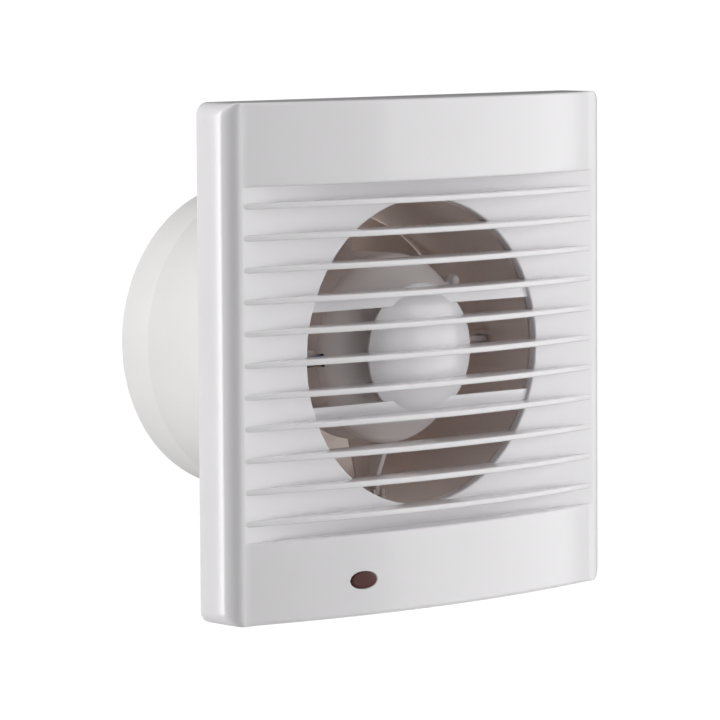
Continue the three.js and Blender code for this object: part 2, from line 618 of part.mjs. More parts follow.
function statorCore() {
  const bore = ROTOR_RADIUS + AIR_GAP;
  const yoke = turned([
    [YOKE_OUTER_RADIUS, STATOR_FRONT],
    [YOKE_OUTER_RADIUS, STATOR_BACK],
    [YOKE_INNER_RADIUS, STATOR_BACK],
    [YOKE_INNER_RADIUS, STATOR_FRONT],
  ]);
  const shoeRing = turned([
    [bore + SHOE_THICKNESS, STATOR_FRONT],
    [bore + SHOE_THICKNESS, STATOR_BACK],
    [bore, STATOR_BACK],
    [bore, STATOR_FRONT],
  ]);
  let core = yoke;
  for (let pole = 0; pole < POLE_COUNT; pole += 1) {
    const angle = (pole * 360) / POLE_COUNT;
    const limbReach = [bore + SHOE_THICKNESS / 2, YOKE_INNER_RADIUS + OVERLAP];
    const limb = box(...limbReach, STATOR_FRONT, STATOR_BACK, -POLE_HALF_WIDTH, POLE_HALF_WIDTH);
    const window = box(0, YOKE_INNER_RADIUS, STATOR_FRONT, STATOR_BACK, -SHOE_HALF_WIDTH, SHOE_HALF_WIDTH);
    core = core.add(aboutDuct(limb, angle)).add(shoeRing.intersect(aboutDuct(window, angle)));
  }
  for (const angle of MOTOR_SCREW_ANGLES) {
    const [x, z] = polar(MOTOR_SCREW_CIRCLE, angle);
    const radius = MOTOR_SCREW_RADIUS + TOUCH;
    core = core.subtract(pin(x, z, radius, STATOR_FRONT - OVERLAP, STATOR_BACK + OVERLAP, SMALL_SIDES));
  }
  return core;
}

// One winding: a rounded rectangular ring round a pole limb, made along +X.
function coil(angle) {
  const halfLength = STATOR_LENGTH / 2 + COIL_FRONT_OVERHANG;
  const shape = roundedRectangle(halfLength, COIL_HALF_WIDTH, 3);
  const hole = roundedRectangle(STATOR_LENGTH / 2 + TOUCH, POLE_HALF_WIDTH + TOUCH, 0.3);
  shape.holes.push(new THREE.Path(hole.getPoints(2).reverse()));
  const options = { depth: COIL_LENGTH, bevelEnabled: false, curveSegments: 3 };
  const geometry = new THREE.ExtrudeGeometry(shape, options);
  geometry.rotateX(Math.PI / 2);
  geometry.rotateZ(Math.PI / 2);
  geometry.translate(COIL_INNER_RADIUS, STATOR_FRONT + STATOR_LENGTH / 2, 0);
  return aboutDuct(solidOf(geometry), angle);
}

const BRACKET_HALF_WIDTH = 4.5;
const BRACKET_SHEET = 1.6;
const BRACKET_LEG = 1.3;
const BRACKET_REACH = MOTOR_SCREW_CIRCLE + 1.2;
const BRACKET_LEG_RADIUS = 1.95;
const BEARING_RADIUS = 4.2;
const BEARING_LENGTH = 4;
const BEARING_BOSS_RADIUS = 5.6;
const BRACKET_REAR_BACK = STATOR_BACK + TOUCH + BRACKET_LEG + BRACKET_SHEET;

// A pressed strap across one end of the stator carries a bearing in its middle. inner is
// the Y of its stator side, and outward is -1 at the front and +1 at the rear.
function bearingBracket(inner, outward) {
  const span = (from, to) => [Math.min(inner + outward * from, inner + outward * to),
    Math.max(inner + outward * from, inner + outward * to)];
  const [stripLow, stripHigh] = span(BRACKET_LEG, BRACKET_LEG + BRACKET_SHEET);
  const [bossLow, bossHigh] = span(BRACKET_LEG, BRACKET_LEG + BRACKET_SHEET + 4.8);
  const strip = box(
    -BRACKET_REACH, BRACKET_REACH, stripLow, stripHigh, -BRACKET_HALF_WIDTH, BRACKET_HALF_WIDTH,
  );
  const trim = pin(0, 0, BRACKET_REACH, stripLow - OVERLAP, stripHigh + OVERLAP, ROUND_SIDES);
  let bracket = aboutDuct(strip.intersect(trim), MOTOR_SCREW_ANGLES[0]);
  bracket = bracket.add(pin(0, 0, BEARING_BOSS_RADIUS, bossLow, bossHigh, ROUND_SIDES / 2));
  for (const angle of MOTOR_SCREW_ANGLES) {
    const [x, z] = polar(MOTOR_SCREW_CIRCLE, angle);
    const [legLow, legHigh] = span(0, BRACKET_LEG + OVERLAP);
    bracket = bracket.add(pin(x, z, BRACKET_LEG_RADIUS, legLow, legHigh));
    bracket = bracket.subtract(pin(x, z, MOTOR_SCREW_RADIUS + TOUCH, legLow - 3, legHigh + 3, SMALL_SIDES));
  }
  return bracket.subtract(pin(0, 0, BEARING_RADIUS + RUNNING, bossLow - 1, bossHigh + 1, ROUND_SIDES / 2));
}

function bearing(y0) {
  return turned([
    [BEARING_RADIUS, y0],
    [BEARING_RADIUS, y0 + BEARING_LENGTH],
    [SHAFT_RADIUS + RUNNING, y0 + BEARING_LENGTH],
    [SHAFT_RADIUS + RUNNING, y0],
  ], ROUND_SIDES / 2);
}

const ROTOR_CORE_FRONT = 4.2;
const ROTOR_CORE_BACK = 13.8;
const CAGE_FRONT = 2.6;
const CAGE_BACK = 15.4;
const CAGE_BARS = 8;
const CAGE_BAR_CIRCLE = 10.6;
const CAGE_BAR_RADIUS = 1.1;
const CAGE_RING_INNER = 8.4;

function cageBars(radius, y0, y1) {
  const bars = [];
  for (let bar = 0; bar < CAGE_BARS; bar += 1) {
    bars.push(pin(...polar(CAGE_BAR_CIRCLE, (bar * 360) / CAGE_BARS), radius, y0, y1, SMALL_SIDES));
  }
  return joined(bars);
}

function rotorCore() {
  const core = turned([
    [ROTOR_RADIUS, ROTOR_CORE_FRONT],
    [ROTOR_RADIUS, ROTOR_CORE_BACK],
    [SHAFT_RADIUS + RUNNING, ROTOR_CORE_BACK],
    [SHAFT_RADIUS + RUNNING, ROTOR_CORE_FRONT],
  ]);
  return core.subtract(cageBars(CAGE_BAR_RADIUS + TOUCH, ROTOR_CORE_FRONT - 1, ROTOR_CORE_BACK + 1));
}

function rotorCage() {
  const ring = (y0, y1) => turned([
    [ROTOR_RADIUS, y0], [ROTOR_RADIUS, y1], [CAGE_RING_INNER, y1], [CAGE_RING_INNER, y0],
  ]);
  const front = ring(CAGE_FRONT, ROTOR_CORE_FRONT - TOUCH);
  const back = ring(ROTOR_CORE_BACK + TOUCH, CAGE_BACK);
  return joined([front, back, cageBars(CAGE_BAR_RADIUS, CAGE_FRONT + 0.5, CAGE_BACK - 0.5)]);
}

const SHAFT_FRONT = -5.2;
const SHAFT_BACK = 46.5;
function shaft() {
  return turned([
    [0, SHAFT_FRONT],
    [SHAFT_RADIUS - 0.3, SHAFT_FRONT],
    [SHAFT_RADIUS, SHAFT_FRONT + 0.3],
    [SHAFT_RADIUS, SHAFT_BACK - 0.3],
    [SHAFT_RADIUS - 0.3, SHAFT_BACK],
    [0, SHAFT_BACK],
  ], ROUND_SIDES / 2);
}

// ---- Impeller ----------------------------------------------------------------------
const HUB_WALL = 1.6;
const BLADE_ROOT_CHORD = 21;
const BLADE_TIP_CHORD = 28;
const BLADE_ROOT_PITCH = 48;
const BLADE_TIP_PITCH = 28;
const BLADE_THICKNESS = 1.5;
const BLADE_CAMBER = 2.4;
const BLADE_STEPS = 3;

// A cambered strip run outwards along +X, then widened and twisted along its length. Its hollow
// side faces the duct's rear end, where the air goes.
function blade() {
  const inner = HUB_RADIUS - HUB_WALL / 2;
  const outer = DUCT_INNER_RADIUS - BLADE_TIP_GAP;
  const shape = new THREE.Shape();
  const half = 0.5;
  shape.moveTo(-half, -BLADE_THICKNESS / 4);
  shape.quadraticCurveTo(0, 2 * BLADE_CAMBER - BLADE_THICKNESS / 2, half, -BLADE_THICKNESS / 4);
  shape.lineTo(half, BLADE_THICKNESS / 4);
  shape.quadraticCurveTo(0, 2 * BLADE_CAMBER + BLADE_THICKNESS, -half, BLADE_THICKNESS / 4);
  const geometry = new THREE.ExtrudeGeometry(shape, {
    depth: 1, steps: BLADE_STEPS, bevelEnabled: false, curveSegments: 4,
  });
  const position = geometry.attributes.position;
  const middle = (HUB_FRONT + HUB_BACK) / 2;
  for (let index = 0; index < position.count; index += 1) {
    const along = position.getZ(index);
    const chord = THREE.MathUtils.lerp(BLADE_ROOT_CHORD, BLADE_TIP_CHORD, along);
    const pitch = THREE.MathUtils.degToRad(THREE.MathUtils.lerp(BLADE_ROOT_PITCH, BLADE_TIP_PITCH, along));
    const across = position.getX(index) * chord;
    const lift = position.getY(index) - BLADE_CAMBER / 2;
    position.setXYZ(
      index,
      THREE.MathUtils.lerp(inner - 1, outer + 3, along),
      middle + across * Math.sin(pitch) - lift * Math.cos(pitch),
      across * Math.cos(pitch) + lift * Math.sin(pitch),
    );
  }
  const limits = turned(
    [[outer, HUB_FRONT], [outer, HUB_BACK], [inner, HUB_BACK], [inner, HUB_FRONT]],
    BLADE_COUNT * HUB_SIDES_PER_BLADE,
  );
  return solidOf(geometry).intersect(limits);
}

function impeller() {
  const boss = 5;
  const bore = SHAFT_RADIUS + RUNNING;
  const hub = turned([
    [HUB_RADIUS, HUB_FRONT],
    [HUB_RADIUS, HUB_BACK - 3],
    [HUB_RADIUS - 1, HUB_BACK - 1],
    [HUB_RADIUS - 3, HUB_BACK],
    [bore, HUB_BACK],
    [bore, HUB_FRONT + 3],
    [boss, HUB_FRONT + 3],
    [boss, HUB_BACK - HUB_WALL],
    [HUB_RADIUS - 3.6, HUB_BACK - HUB_WALL],
    [HUB_RADIUS - HUB_WALL, HUB_BACK - 3.6],
    [HUB_RADIUS - HUB_WALL, HUB_FRONT],
  ], BLADE_COUNT * HUB_SIDES_PER_BLADE);
  const blades = [];
  for (let index = 0; index < BLADE_COUNT; index += 1) {
    blades.push(aboutDuct(blade(), FIRST_BLADE_ANGLE + (index * 360) / BLADE_COUNT));
  }
  return joined([hub, ...blades]);
}

// A push-on star washer keeps the impeller on the shaft.
const CLIP_THICKNESS = 0.7;
const CLIP_RADIUS = 5.4;
const CLIP_NOTCHES = 4;
function impellerClip() {
  const front = HUB_BACK + TOUCH;
  const back = front + CLIP_THICKNESS;
  const bore = SHAFT_RADIUS + RUNNING;
  const ring = [[CLIP_RADIUS, front], [CLIP_RADIUS, back], [bore, back], [bore, front]];
  let clip = turned(ring, ROUND_SIDES / 2);
  for (let notch = 0; notch < CLIP_NOTCHES; notch += 1) {
    const cut = box(0, SHAFT_RADIUS + 1.5, front - 1, back + 1, -0.4, 0.4);
    clip = clip.subtract(aboutDuct(cut, (notch * 360) / CLIP_NOTCHES + 45));
  }
  return clip;
}

// ---- Terminal block ----------------------------------------------------------------
const BLOCK_HALF_WIDTH = POLE_PITCH;
const BLOCK_HALF_HEIGHT = 9;
const BLOCK_FRONT = FLOOR_BACK + 1.1;
const BLOCK_BACK = -PLATE_THICKNESS - TOUCH;
const SLEEVE_Y = BLOCK_BACK - 3.4;
const SLEEVE_HALF = 2.3;
const SLEEVE_HALF_HEIGHT = 7;
const SLEEVE_BORE_RADIUS = 1.5;
const ENTRY_RADIUS = 2.1;
const WELL_RADIUS = 2.2;
const TERMINAL_SCREW_OFFSET = 4.2;
const BLOCK_SCREW_RADIUS = 1;
const BLOCK_SCREW_GAP = 0.2;
const BLOCK_SCREW_END = -PLATE_THICKNESS + 1.1;
const POLE_PLACES = [BLOCK_X - POLE_PITCH / 2, BLOCK_X + POLE_PITCH / 2];
const TERMINAL_SCREW_HEIGHTS = [BLOCK_Z - TERMINAL_SCREW_OFFSET, BLOCK_Z + TERMINAL_SCREW_OFFSET];

function terminalBlock() {
  let block = box(
    BLOCK_X - BLOCK_HALF_WIDTH, BLOCK_X + BLOCK_HALF_WIDTH, BLOCK_FRONT, BLOCK_BACK,
    BLOCK_Z - BLOCK_HALF_HEIGHT, BLOCK_Z + BLOCK_HALF_HEIGHT,
  );
  const room = SLEEVE_HALF + TOUCH;
  for (const x of POLE_PLACES) {
    const reach = SLEEVE_HALF_HEIGHT + TOUCH;
    const depth = [SLEEVE_Y - room, SLEEVE_Y + room];
    block = block.subtract(box(x - room, x + room, ...depth, BLOCK_Z - reach, BLOCK_Z + reach));
    block = block.subtract(uprightPin(x, SLEEVE_Y, ENTRY_RADIUS, BLOCK_Z - 10, BLOCK_Z + 10));
    for (const z of TERMINAL_SCREW_HEIGHTS) {
      block = block.subtract(pin(x, z, WELL_RADIUS, BLOCK_FRONT - 1, SLEEVE_Y, SMALL_SIDES));
    }
  }
  const screwHole = BLOCK_SCREW_RADIUS + BLOCK_SCREW_GAP;
  block = block.subtract(pin(BLOCK_X, BLOCK_Z, screwHole, BLOCK_FRONT - 1, BLOCK_BACK + 1, SMALL_SIDES));
  return block.subtract(pin(BLOCK_X, BLOCK_Z, 2, BLOCK_FRONT - 1, BLOCK_FRONT + 1.5, SMALL_SIDES));
}

function terminalSleeve(x) {
  let sleeve = box(
    x - SLEEVE_HALF, x + SLEEVE_HALF, SLEEVE_Y - SLEEVE_HALF, SLEEVE_Y + SLEEVE_HALF,
    BLOCK_Z - SLEEVE_HALF_HEIGHT, BLOCK_Z + SLEEVE_HALF_HEIGHT,
  );
  sleeve = sleeve.subtract(uprightPin(x, SLEEVE_Y, SLEEVE_BORE_RADIUS, BLOCK_Z - 8, BLOCK_Z + 8));
  for (const z of TERMINAL_SCREW_HEIGHTS) {
    sleeve = sleeve.subtract(pin(x, z, 1.3, SLEEVE_Y - SLEEVE_HALF - 1, SLEEVE_Y, SMALL_SIDES));
  }
  return sleeve;
}

// ---- Cable clamp and grommet ---------------------------------------------------------
const CLAMP_HALF_LENGTH = 10.4;
const CLAMP_HALF_WIDTH = 2.4;
const CLAMP_THICKNESS = 2.4;
const CLAMP_BACK = CLAMP_POST_FRONT - TOUCH;
function cableClamp() {
  const x = BLOCK_X;
  let bar = box(
    x - CLAMP_HALF_LENGTH, x + CLAMP_HALF_LENGTH, CLAMP_BACK - CLAMP_THICKNESS, CLAMP_BACK,
    CLAMP_Z - CLAMP_HALF_WIDTH, CLAMP_Z + CLAMP_HALF_WIDTH,
  );
  const saddle = uprightPin(x, CLAMP_BACK + 1.6, 3.2, CLAMP_Z - 4, CLAMP_Z + 4);
  bar = bar.subtract(saddle);
  for (const side of [-1, 1]) {
    const screwX = x + side * CLAMP_SCREW_OFFSET;
    bar = bar.subtract(pin(screwX, CLAMP_Z, THREAD_HOLE_RADIUS, CLAMP_BACK - 5, CLAMP_BACK + 1, SMALL_SIDES));
  }
  return bar;
}

function cableGrommet() {
  const flange = CABLE_ENTRY_RADIUS + 1.4;
  const neck = CABLE_ENTRY_RADIUS - TOUCH;
  const bore = 3.4;
  const seat = -PLATE_THICKNESS - TOUCH;
  const ring = turned([
    [flange, seat - 1.3], [flange, seat], [neck, seat], [neck, -TOUCH], [bore, -TOUCH], [bore, seat - 1.3],
  ], PIN_SIDES);
  return ring.translate([CABLE_ENTRY_X, 0, CABLE_ENTRY_Z]);
}

// ---- Running lamp ------------------------------------------------------------------
const NEON_SOCKET_DEPTH = 3;
const NEON_RADIUS = 2;
function lampHolder() {
  const body = box(
    LAMP_X - HOLDER_HALF_WIDTH, LAMP_X + HOLDER_HALF_WIDTH, HOLDER_FRONT, -PLATE_THICKNESS - TOUCH,
    LAMP_Z - HOLDER_HALF_HEIGHT, LAMP_Z + HOLDER_HALF_HEIGHT,
  );
  const socketEnd = HOLDER_FRONT + NEON_SOCKET_DEPTH;
  return body.subtract(pin(LAMP_X, LAMP_Z, NEON_RADIUS + TOUCH, HOLDER_FRONT - 1, socketEnd));
}

function neonLamp() {
  const base = HOLDER_FRONT + NEON_SOCKET_DEPTH - TOUCH;
  const tip = LENS_BACK + 0.8;
  const bulb = turned([
    [0, tip], [NEON_RADIUS * 0.6, tip + 0.35], [NEON_RADIUS * 0.92, tip + 1], [NEON_RADIUS, tip + 1.8],
    [NEON_RADIUS, base], [0, base],
  ], PIN_SIDES);
  return bulb.translate([LAMP_X, 0, LAMP_Z]);
}

// ---- Leads -------------------------------------------------------------------------
const LEAD_RADIUS = 0.7;
const LEAD_STEPS = 18;
function lead(points) {
  const route = new THREE.CatmullRomCurve3(points.map((point) => new THREE.Vector3(...point)));
  const section = new THREE.Shape();
  section.absarc(0, 0, LEAD_RADIUS, 0, 2 * Math.PI);
  const options = { extrudePath: route, steps: LEAD_STEPS, curveSegments: 3 };
  return solidOf(new THREE.ExtrudeGeometry(section, options));
}

const LEAD_ENTRY_Z = BLOCK_Z - BLOCK_HALF_HEIGHT + 1.2;
const LEAD_SPREAD = 0.9;
const UPPER_LEAD_Z = LEAD_HOLE_Z + LEAD_SPREAD;
const LOWER_LEAD_Z = LEAD_HOLE_Z - LEAD_SPREAD;
const [LIVE_X, NEUTRAL_X] = POLE_PLACES;

function motorLeadStart(z) {
  return [
    [-COIL_INNER_RADIUS - COIL_LENGTH / 2, -1.5, z],
    [-COIL_INNER_RADIUS - COIL_LENGTH - 2.2, -1.3, z],
    [-POD_RADIUS + 0.9, -0.6, z],
    [-POD_RADIUS - 3.5, -1.8, z],
    [-DUCT_INNER_RADIUS + 6, LEAD_HOLE_Y + 2.2, z],
    [-DUCT_INNER_RADIUS - DUCT_WALL / 2, LEAD_HOLE_Y, z],
  ];
}

const NEUTRAL_MOTOR_ROUTE = [
  ...motorLeadStart(UPPER_LEAD_Z),
  [-52.4, -8.6, 2.5],
  [-53.4, -8.4, 12],
  [-54.6, -7.6, 22],
  [NEUTRAL_X + LEAD_SPREAD, SLEEVE_Y, 28],
  [NEUTRAL_X + LEAD_SPREAD, SLEEVE_Y, LEAD_ENTRY_Z],
];
const LIVE_MOTOR_ROUTE = [
  ...motorLeadStart(LOWER_LEAD_Z),
  [-54.6, -8.8, 0.5],
  [-56.4, -8.8, 12],
  [-59.6, -8.8, 22],
  [LIVE_X + LEAD_SPREAD, SLEEVE_Y - 0.6, 27.4],
  [LIVE_X + LEAD_SPREAD, SLEEVE_Y, LEAD_ENTRY_Z],
];
const NEUTRAL_LAMP_ROUTE = [
  [NEUTRAL_X - LEAD_SPREAD, SLEEVE_Y, LEAD_ENTRY_Z],
  [NEUTRAL_X - LEAD_SPREAD, SLEEVE_Y, 28],
  [-56.8, -4.6, 21],
  [-55.4, -4, 6],
  [-55.2, -4, -22],
  [-51, -4, LAMP_Z + 23.1],
  [-40, -4.6, LAMP_Z + 11.1],
  [LAMP_X - 1, -5.6, LAMP_Z + 6.1],
  [LAMP_X - 1, -6, LAMP_Z + HOLDER_HALF_HEIGHT + TOUCH],
];
const LIVE_LAMP_ROUTE = [
  [LIVE_X - LEAD_SPREAD, SLEEVE_Y, LEAD_ENTRY_Z],
  [LIVE_X - LEAD_SPREAD, SLEEVE_Y + 0.4, 27.6],
  [-62.6, -4.2, 24],
  [-58.4, -4, 17],
  [-57.6, -4, 4],
  [-57.4, -4, -22],
  [-54, -4, LAMP_Z + 21.1],
  [-44, -5, LAMP_Z + 5.1],
  [LAMP_X - HOLDER_HALF_WIDTH - TOUCH, -6, LAMP_Z],
];

// ---- Assembly ----------------------------------------------------------------------
addPiece("front_cover", frontCover(), colours.cover);
addPiece("lamp_lens", lampLens(), colours.lens);
addPiece("duct_housing", ductHousing(), colours.housing);
addPiece("motor_pod", podWithStruts(), colours.pod);
addPiece("motor_cover", motorCover(), colours.pod);
LUG_ANGLES.forEach((angle, index) => {
  const [x, z] = polar(LUG_CENTRE_RADIUS, angle);
  const seat = POD_FRONT + LUG_DEPTH + TOUCH;
  const screw = panScrew([x, z], -seat, [COVER_SCREW_RADIUS, COVER_SCREW_LENGTH], [1.6, 1.2]);
  addPiece(`motor_cover_screw_${index + 1}`, screw.mirror([0, 1, 0]), colours.screw);
});

addPiece("stator_core", statorCore(), colours.lamination);
for (let pole = 0; pole < POLE_COUNT; pole += 1) {
  addPiece(`coil_${pole + 1}`, coil((pole * 360) / POLE_COUNT), colours.copper);
}
addPiece("front_bracket", bearingBracket(STATOR_FRONT - TOUCH, -1), colours.aluminium);
addPiece("rear_bracket", bearingBracket(STATOR_BACK + TOUCH, 1), colours.aluminium);
addPiece("front_bearing", bearing(STATOR_FRONT - TOUCH - BRACKET_LEG - BRACKET_SHEET - 4), colours.bronze);
addPiece("rear_bearing", bearing(BRACKET_REAR_BACK), colours.bronze);
MOTOR_SCREW_ANGLES.forEach((angle, index) => {
  const [x, z] = polar(MOTOR_SCREW_CIRCLE, angle);
  const seat = STATOR_FRONT - BRACKET_LEG - BRACKET_SHEET - 2 * TOUCH;
  const screw = panScrew([x, z], seat, [MOTOR_SCREW_RADIUS, 20.8], [1.7, 0.8]);
  addPiece(`motor_screw_${index + 1}`, screw, colours.screw);
});

addPiece("rotor_core", rotorCore(), colours.lamination);
addPiece("rotor_cage", rotorCage(), colours.aluminium);
addPiece("shaft", shaft(), colours.shaft);
addPiece("impeller", impeller(), colours.impeller);
addPiece("impeller_clip", impellerClip(), colours.screw);

addPiece("terminal_block", terminalBlock(), colours.block);
const blockScrewSeat = BLOCK_FRONT + 1.2;
const blockScrew = panScrew(
  [BLOCK_X, BLOCK_Z], blockScrewSeat, [BLOCK_SCREW_RADIUS, BLOCK_SCREW_END - blockScrewSeat], [1.7, 0.9],
);
addPiece("terminal_block_screw", blockScrew, colours.screw);
POLE_PLACES.forEach((x, index) => {
  addPiece(`terminal_sleeve_${index + 1}`, terminalSleeve(x), colours.brass);
});
POLE_PLACES.forEach((x, pole) => {
  TERMINAL_SCREW_HEIGHTS.forEach((z, row) => {
    const name = `terminal_screw_${2 * pole + row + 1}`;
    addPiece(name, panScrew([x, z], SLEEVE_Y - SLEEVE_HALF - TOUCH, [1, 1.8], [1.8, 1.3]), colours.screw);
  });
});

addPiece("cable_clamp", cableClamp(), colours.block);
[-1, 1].forEach((side, index) => {
  const x = BLOCK_X + side * CLAMP_SCREW_OFFSET;
  const seat = CLAMP_BACK - CLAMP_THICKNESS - TOUCH;
  const screw = panScrew([x, CLAMP_Z], seat, [1.2, CLAMP_SCREW_END - seat], [2.2, 1.4]);
  addPiece(`clamp_screw_${index + 1}`, screw, colours.screw);
});
addPiece("cable_grommet", cableGrommet(), colours.rubber);

addPiece("lamp_holder", lampHolder(), colours.block);
addPiece("neon_lamp", neonLamp(), colours.neon);
addPiece("motor_lead_neutral", lead(NEUTRAL_MOTOR_ROUTE), colours.blueWire);
addPiece("motor_lead_live", lead(LIVE_MOTOR_ROUTE), colours.brownWire);
addPiece("lamp_lead_neutral", lead(NEUTRAL_LAMP_ROUTE), colours.blueWire);
addPiece("lamp_lead_live", lead(LIVE_LAMP_ROUTE), colours.brownWire);

export default fan;
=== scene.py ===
"""Bathroom extractor fan: fine pieces, finishes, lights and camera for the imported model."""
import math
import bmesh
import bpy
from mathutils import Matrix, Vector


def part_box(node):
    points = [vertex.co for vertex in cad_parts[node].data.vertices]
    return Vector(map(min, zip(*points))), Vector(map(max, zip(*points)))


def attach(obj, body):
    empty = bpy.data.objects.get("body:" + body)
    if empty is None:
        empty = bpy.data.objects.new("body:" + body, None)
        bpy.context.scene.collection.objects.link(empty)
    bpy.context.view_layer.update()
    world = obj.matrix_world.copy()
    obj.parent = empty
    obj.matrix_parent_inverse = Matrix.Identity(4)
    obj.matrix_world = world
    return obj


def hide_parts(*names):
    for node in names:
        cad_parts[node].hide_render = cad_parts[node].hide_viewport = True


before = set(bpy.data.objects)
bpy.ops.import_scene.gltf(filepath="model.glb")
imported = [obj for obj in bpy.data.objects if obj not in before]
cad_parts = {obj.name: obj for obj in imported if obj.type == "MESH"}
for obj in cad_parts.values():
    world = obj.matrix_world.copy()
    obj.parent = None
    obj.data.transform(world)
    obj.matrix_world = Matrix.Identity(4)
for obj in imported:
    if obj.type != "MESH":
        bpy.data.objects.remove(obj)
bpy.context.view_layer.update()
scene = bpy.context.scene

# ---- Sizes, in millimetres -----------------------------------------------------------
MM = 0.001
HALF_WIDTH = 77.0
HALF_HEIGHT = 78.0
FRONT = -15.4           # front of the recessed floor
FLOOR_BACK = -12.7
REAR = -0.4
SKIN = 2.2
BULGE = 8.7
BOW_HALF = 71.6
CORNER = 4.0
RECESS = 53.03
EDGE = 0.8
PITCH = 9.47
RIB_COUNT = 11
RIB_THICKNESS = 1.8
UPPER_BAR = 3.8
LOWER_BAR = 3.5
BAR_LAP = 0.4           # how far a bar runs into its rib
BAR_OFFSET = 0.03       # keeps a bar's face off the disc's rim
OPENING = 47.0
DISC = 21.0
DISC_SETBACK = 1.0
DISC_RIM_FALL = 0.8
DOME_RISE = 3.4
LAMP = (-31.2, -67.08)
LAMP_HALF = (4.8, 2.5)
DUCT_OUTER = 49.25
DUCT_INNER = 47.0
# radius inside which the duct's inner wall gets painted shade
DUCT_SHADE_RADIUS = 47.9
DUCT_FRONT = -12.2
DUCT_REAR = 73.1
POD = 29.5
POD_INSIDE = 27.7
BLADES = 7
LUG_CIRCLE = 31.7
LUG_ANGLES = (38.5, 218.5)
STRUT_ANGLES = (0, 180, 270)
PEGS = ((-64, 16), (64, 16), (-64, -46), (64, -46))
WALL_HOLES = ((-66, -67), (66, -67), (-66, 67), (66, 67))
CABLE_ENTRY = (-54, 65)
BLOCK = (-61, 39)
CLAMP_Z = 54.9
LEAD_HOLE_Z = -1.9
RAIL_REACH = (44.5, 47.5)
RAIL_REAR = 10.9
DOME_SCREW_SEAT = 8.5


# ---- Shader node groups --------------------------------------------------------------
class Nodes:
    """A node tree with short ways to add nodes and links."""

    def __init__(self, tree):
        self.tree = tree

    def add(self, kind, inputs=None, **settings):
        node = self.tree.nodes.new(kind)
        for key, value in settings.items():
            setattr(node, key, value)
        for key, value in (inputs or {}).items():
            self.feed(node.inputs[key], value)
        return node

    def feed(self, socket, value):
        if isinstance(value, bpy.types.NodeSocket):
            self.tree.links.new(value, socket)
        else:
            socket.default_value = value

    def math(self, operation, *values, clamp=False):
        node = self.tree.nodes.new("ShaderNodeMath")
        node.operation = operation
        node.use_clamp = clamp
        for socket, value in zip(node.inputs, values):
            self.feed(socket, value)
        return node.outputs[0]

    def plus(self, *values, clamp=False):
        return self.math("ADD", *values, clamp=clamp)

    def minus(self, *values):
        return self.math("SUBTRACT", *values)

    def times(self, *values, clamp=False):
        return self.math("MULTIPLY", *values, clamp=clamp)

    def over(self, *values):
        return self.math("DIVIDE", *values)

    def place(self):
        return self.add("ShaderNodeTexCoord").outputs["Object"]

    def mapped(self, value, low, high, out_low, out_high):
        node = self.add("ShaderNodeMapRange", {
            "Value": value, "From Min": low, "From Max": high, "To Min": out_low, "To Max": out_high})
        return node.outputs["Result"]


def shader_group(name, inputs, outputs):
    tree = bpy.data.node_groups.new(name, "ShaderNodeTree")
    for label, value in inputs:
        socket = tree.interface.new_socket(name=label, in_out="INPUT", socket_type="NodeSocketFloat")
        socket.default_value = value
    for label in outputs:
        tree.interface.new_socket(name=label, in_out="OUTPUT", socket_type="NodeSocketFloat")
    nodes = Nodes(tree)
    return tree, nodes, nodes.add("NodeGroupInput"), nodes.add("NodeGroupOutput")


def make_moulded_surface():
    """Slow flow marks, a fine tooling grain and gloss that varies a little."""
    tree, nodes, given, out = shader_group(
        "moulded_surface",
        [("Flow Scale", 18.0), ("Grain Scale", 2600.0), ("Grain Share", 0.5), ("Roughness", 0.25),
         ("Gloss Spread", 0.05)],
        ["Tone", "Roughness", "Height"])
    place = nodes.place()
    flow = nodes.add("ShaderNodeTexNoise", {
        "Vector": place, "Scale": given.outputs["Flow Scale"], "Detail": 4.0, "Roughness": 0.55,
        "Distortion": 0.6})
    grain = nodes.add("ShaderNodeTexNoise", {
        "Vector": place, "Scale": given.outputs["Grain Scale"], "Detail": 2.0, "Roughness": 0.5})
    smear = nodes.add("ShaderNodeTexNoise", {"Vector": place, "Scale": 120.0, "Detail": 5.0,
                                             "Roughness": 0.65})
    spread = nodes.times(nodes.minus(smear.outputs["Fac"], 0.5), given.outputs["Gloss Spread"])
    nodes.feed(out.inputs["Tone"], flow.outputs["Fac"])
    nodes.feed(out.inputs["Roughness"], nodes.plus(given.outputs["Roughness"], spread, clamp=True))
    share = nodes.times(grain.outputs["Fac"], given.outputs["Grain Share"])
    nodes.feed(out.inputs["Height"], nodes.plus(share, nodes.times(flow.outputs["Fac"], 0.4)))
    return tree


def make_edge_wear_and_hollow_shade():
    """A mask that is high on raised edges, broken up by noise, for wear, and a mask that is high in hollows,
    for painted shade.
    """
    tree, nodes, given, out = shader_group(
        "edge_wear_and_hollow_shade", [("Amount", 0.5), ("Break Up", 400.0)], ["Edge", "Painted Hollow Shade"])
    place = nodes.place()
    crest = nodes.add("ShaderNodeNewGeometry").outputs["Pointiness"]
    noise = nodes.add("ShaderNodeTexNoise", {"Vector": place, "Scale": given.outputs["Break Up"],
                                             "Detail": 3.0})
    edge = nodes.mapped(crest, 0.52, 0.62, 0.0, 1.0)
    broken = nodes.times(edge, nodes.mapped(noise.outputs["Fac"], 0.35, 0.65, 0.3, 1.0))
    nodes.feed(out.inputs["Edge"], nodes.times(broken, given.outputs["Amount"], clamp=True))
    # painted shade: high in hollows, where shade falls
    painted_hollow_shade = nodes.mapped(crest, 0.5, 0.4, 0.0, 1.0)
    nodes.feed(out.inputs["Painted Hollow Shade"], nodes.times(painted_hollow_shade, given.outputs["Amount"], clamp=True))
    return tree


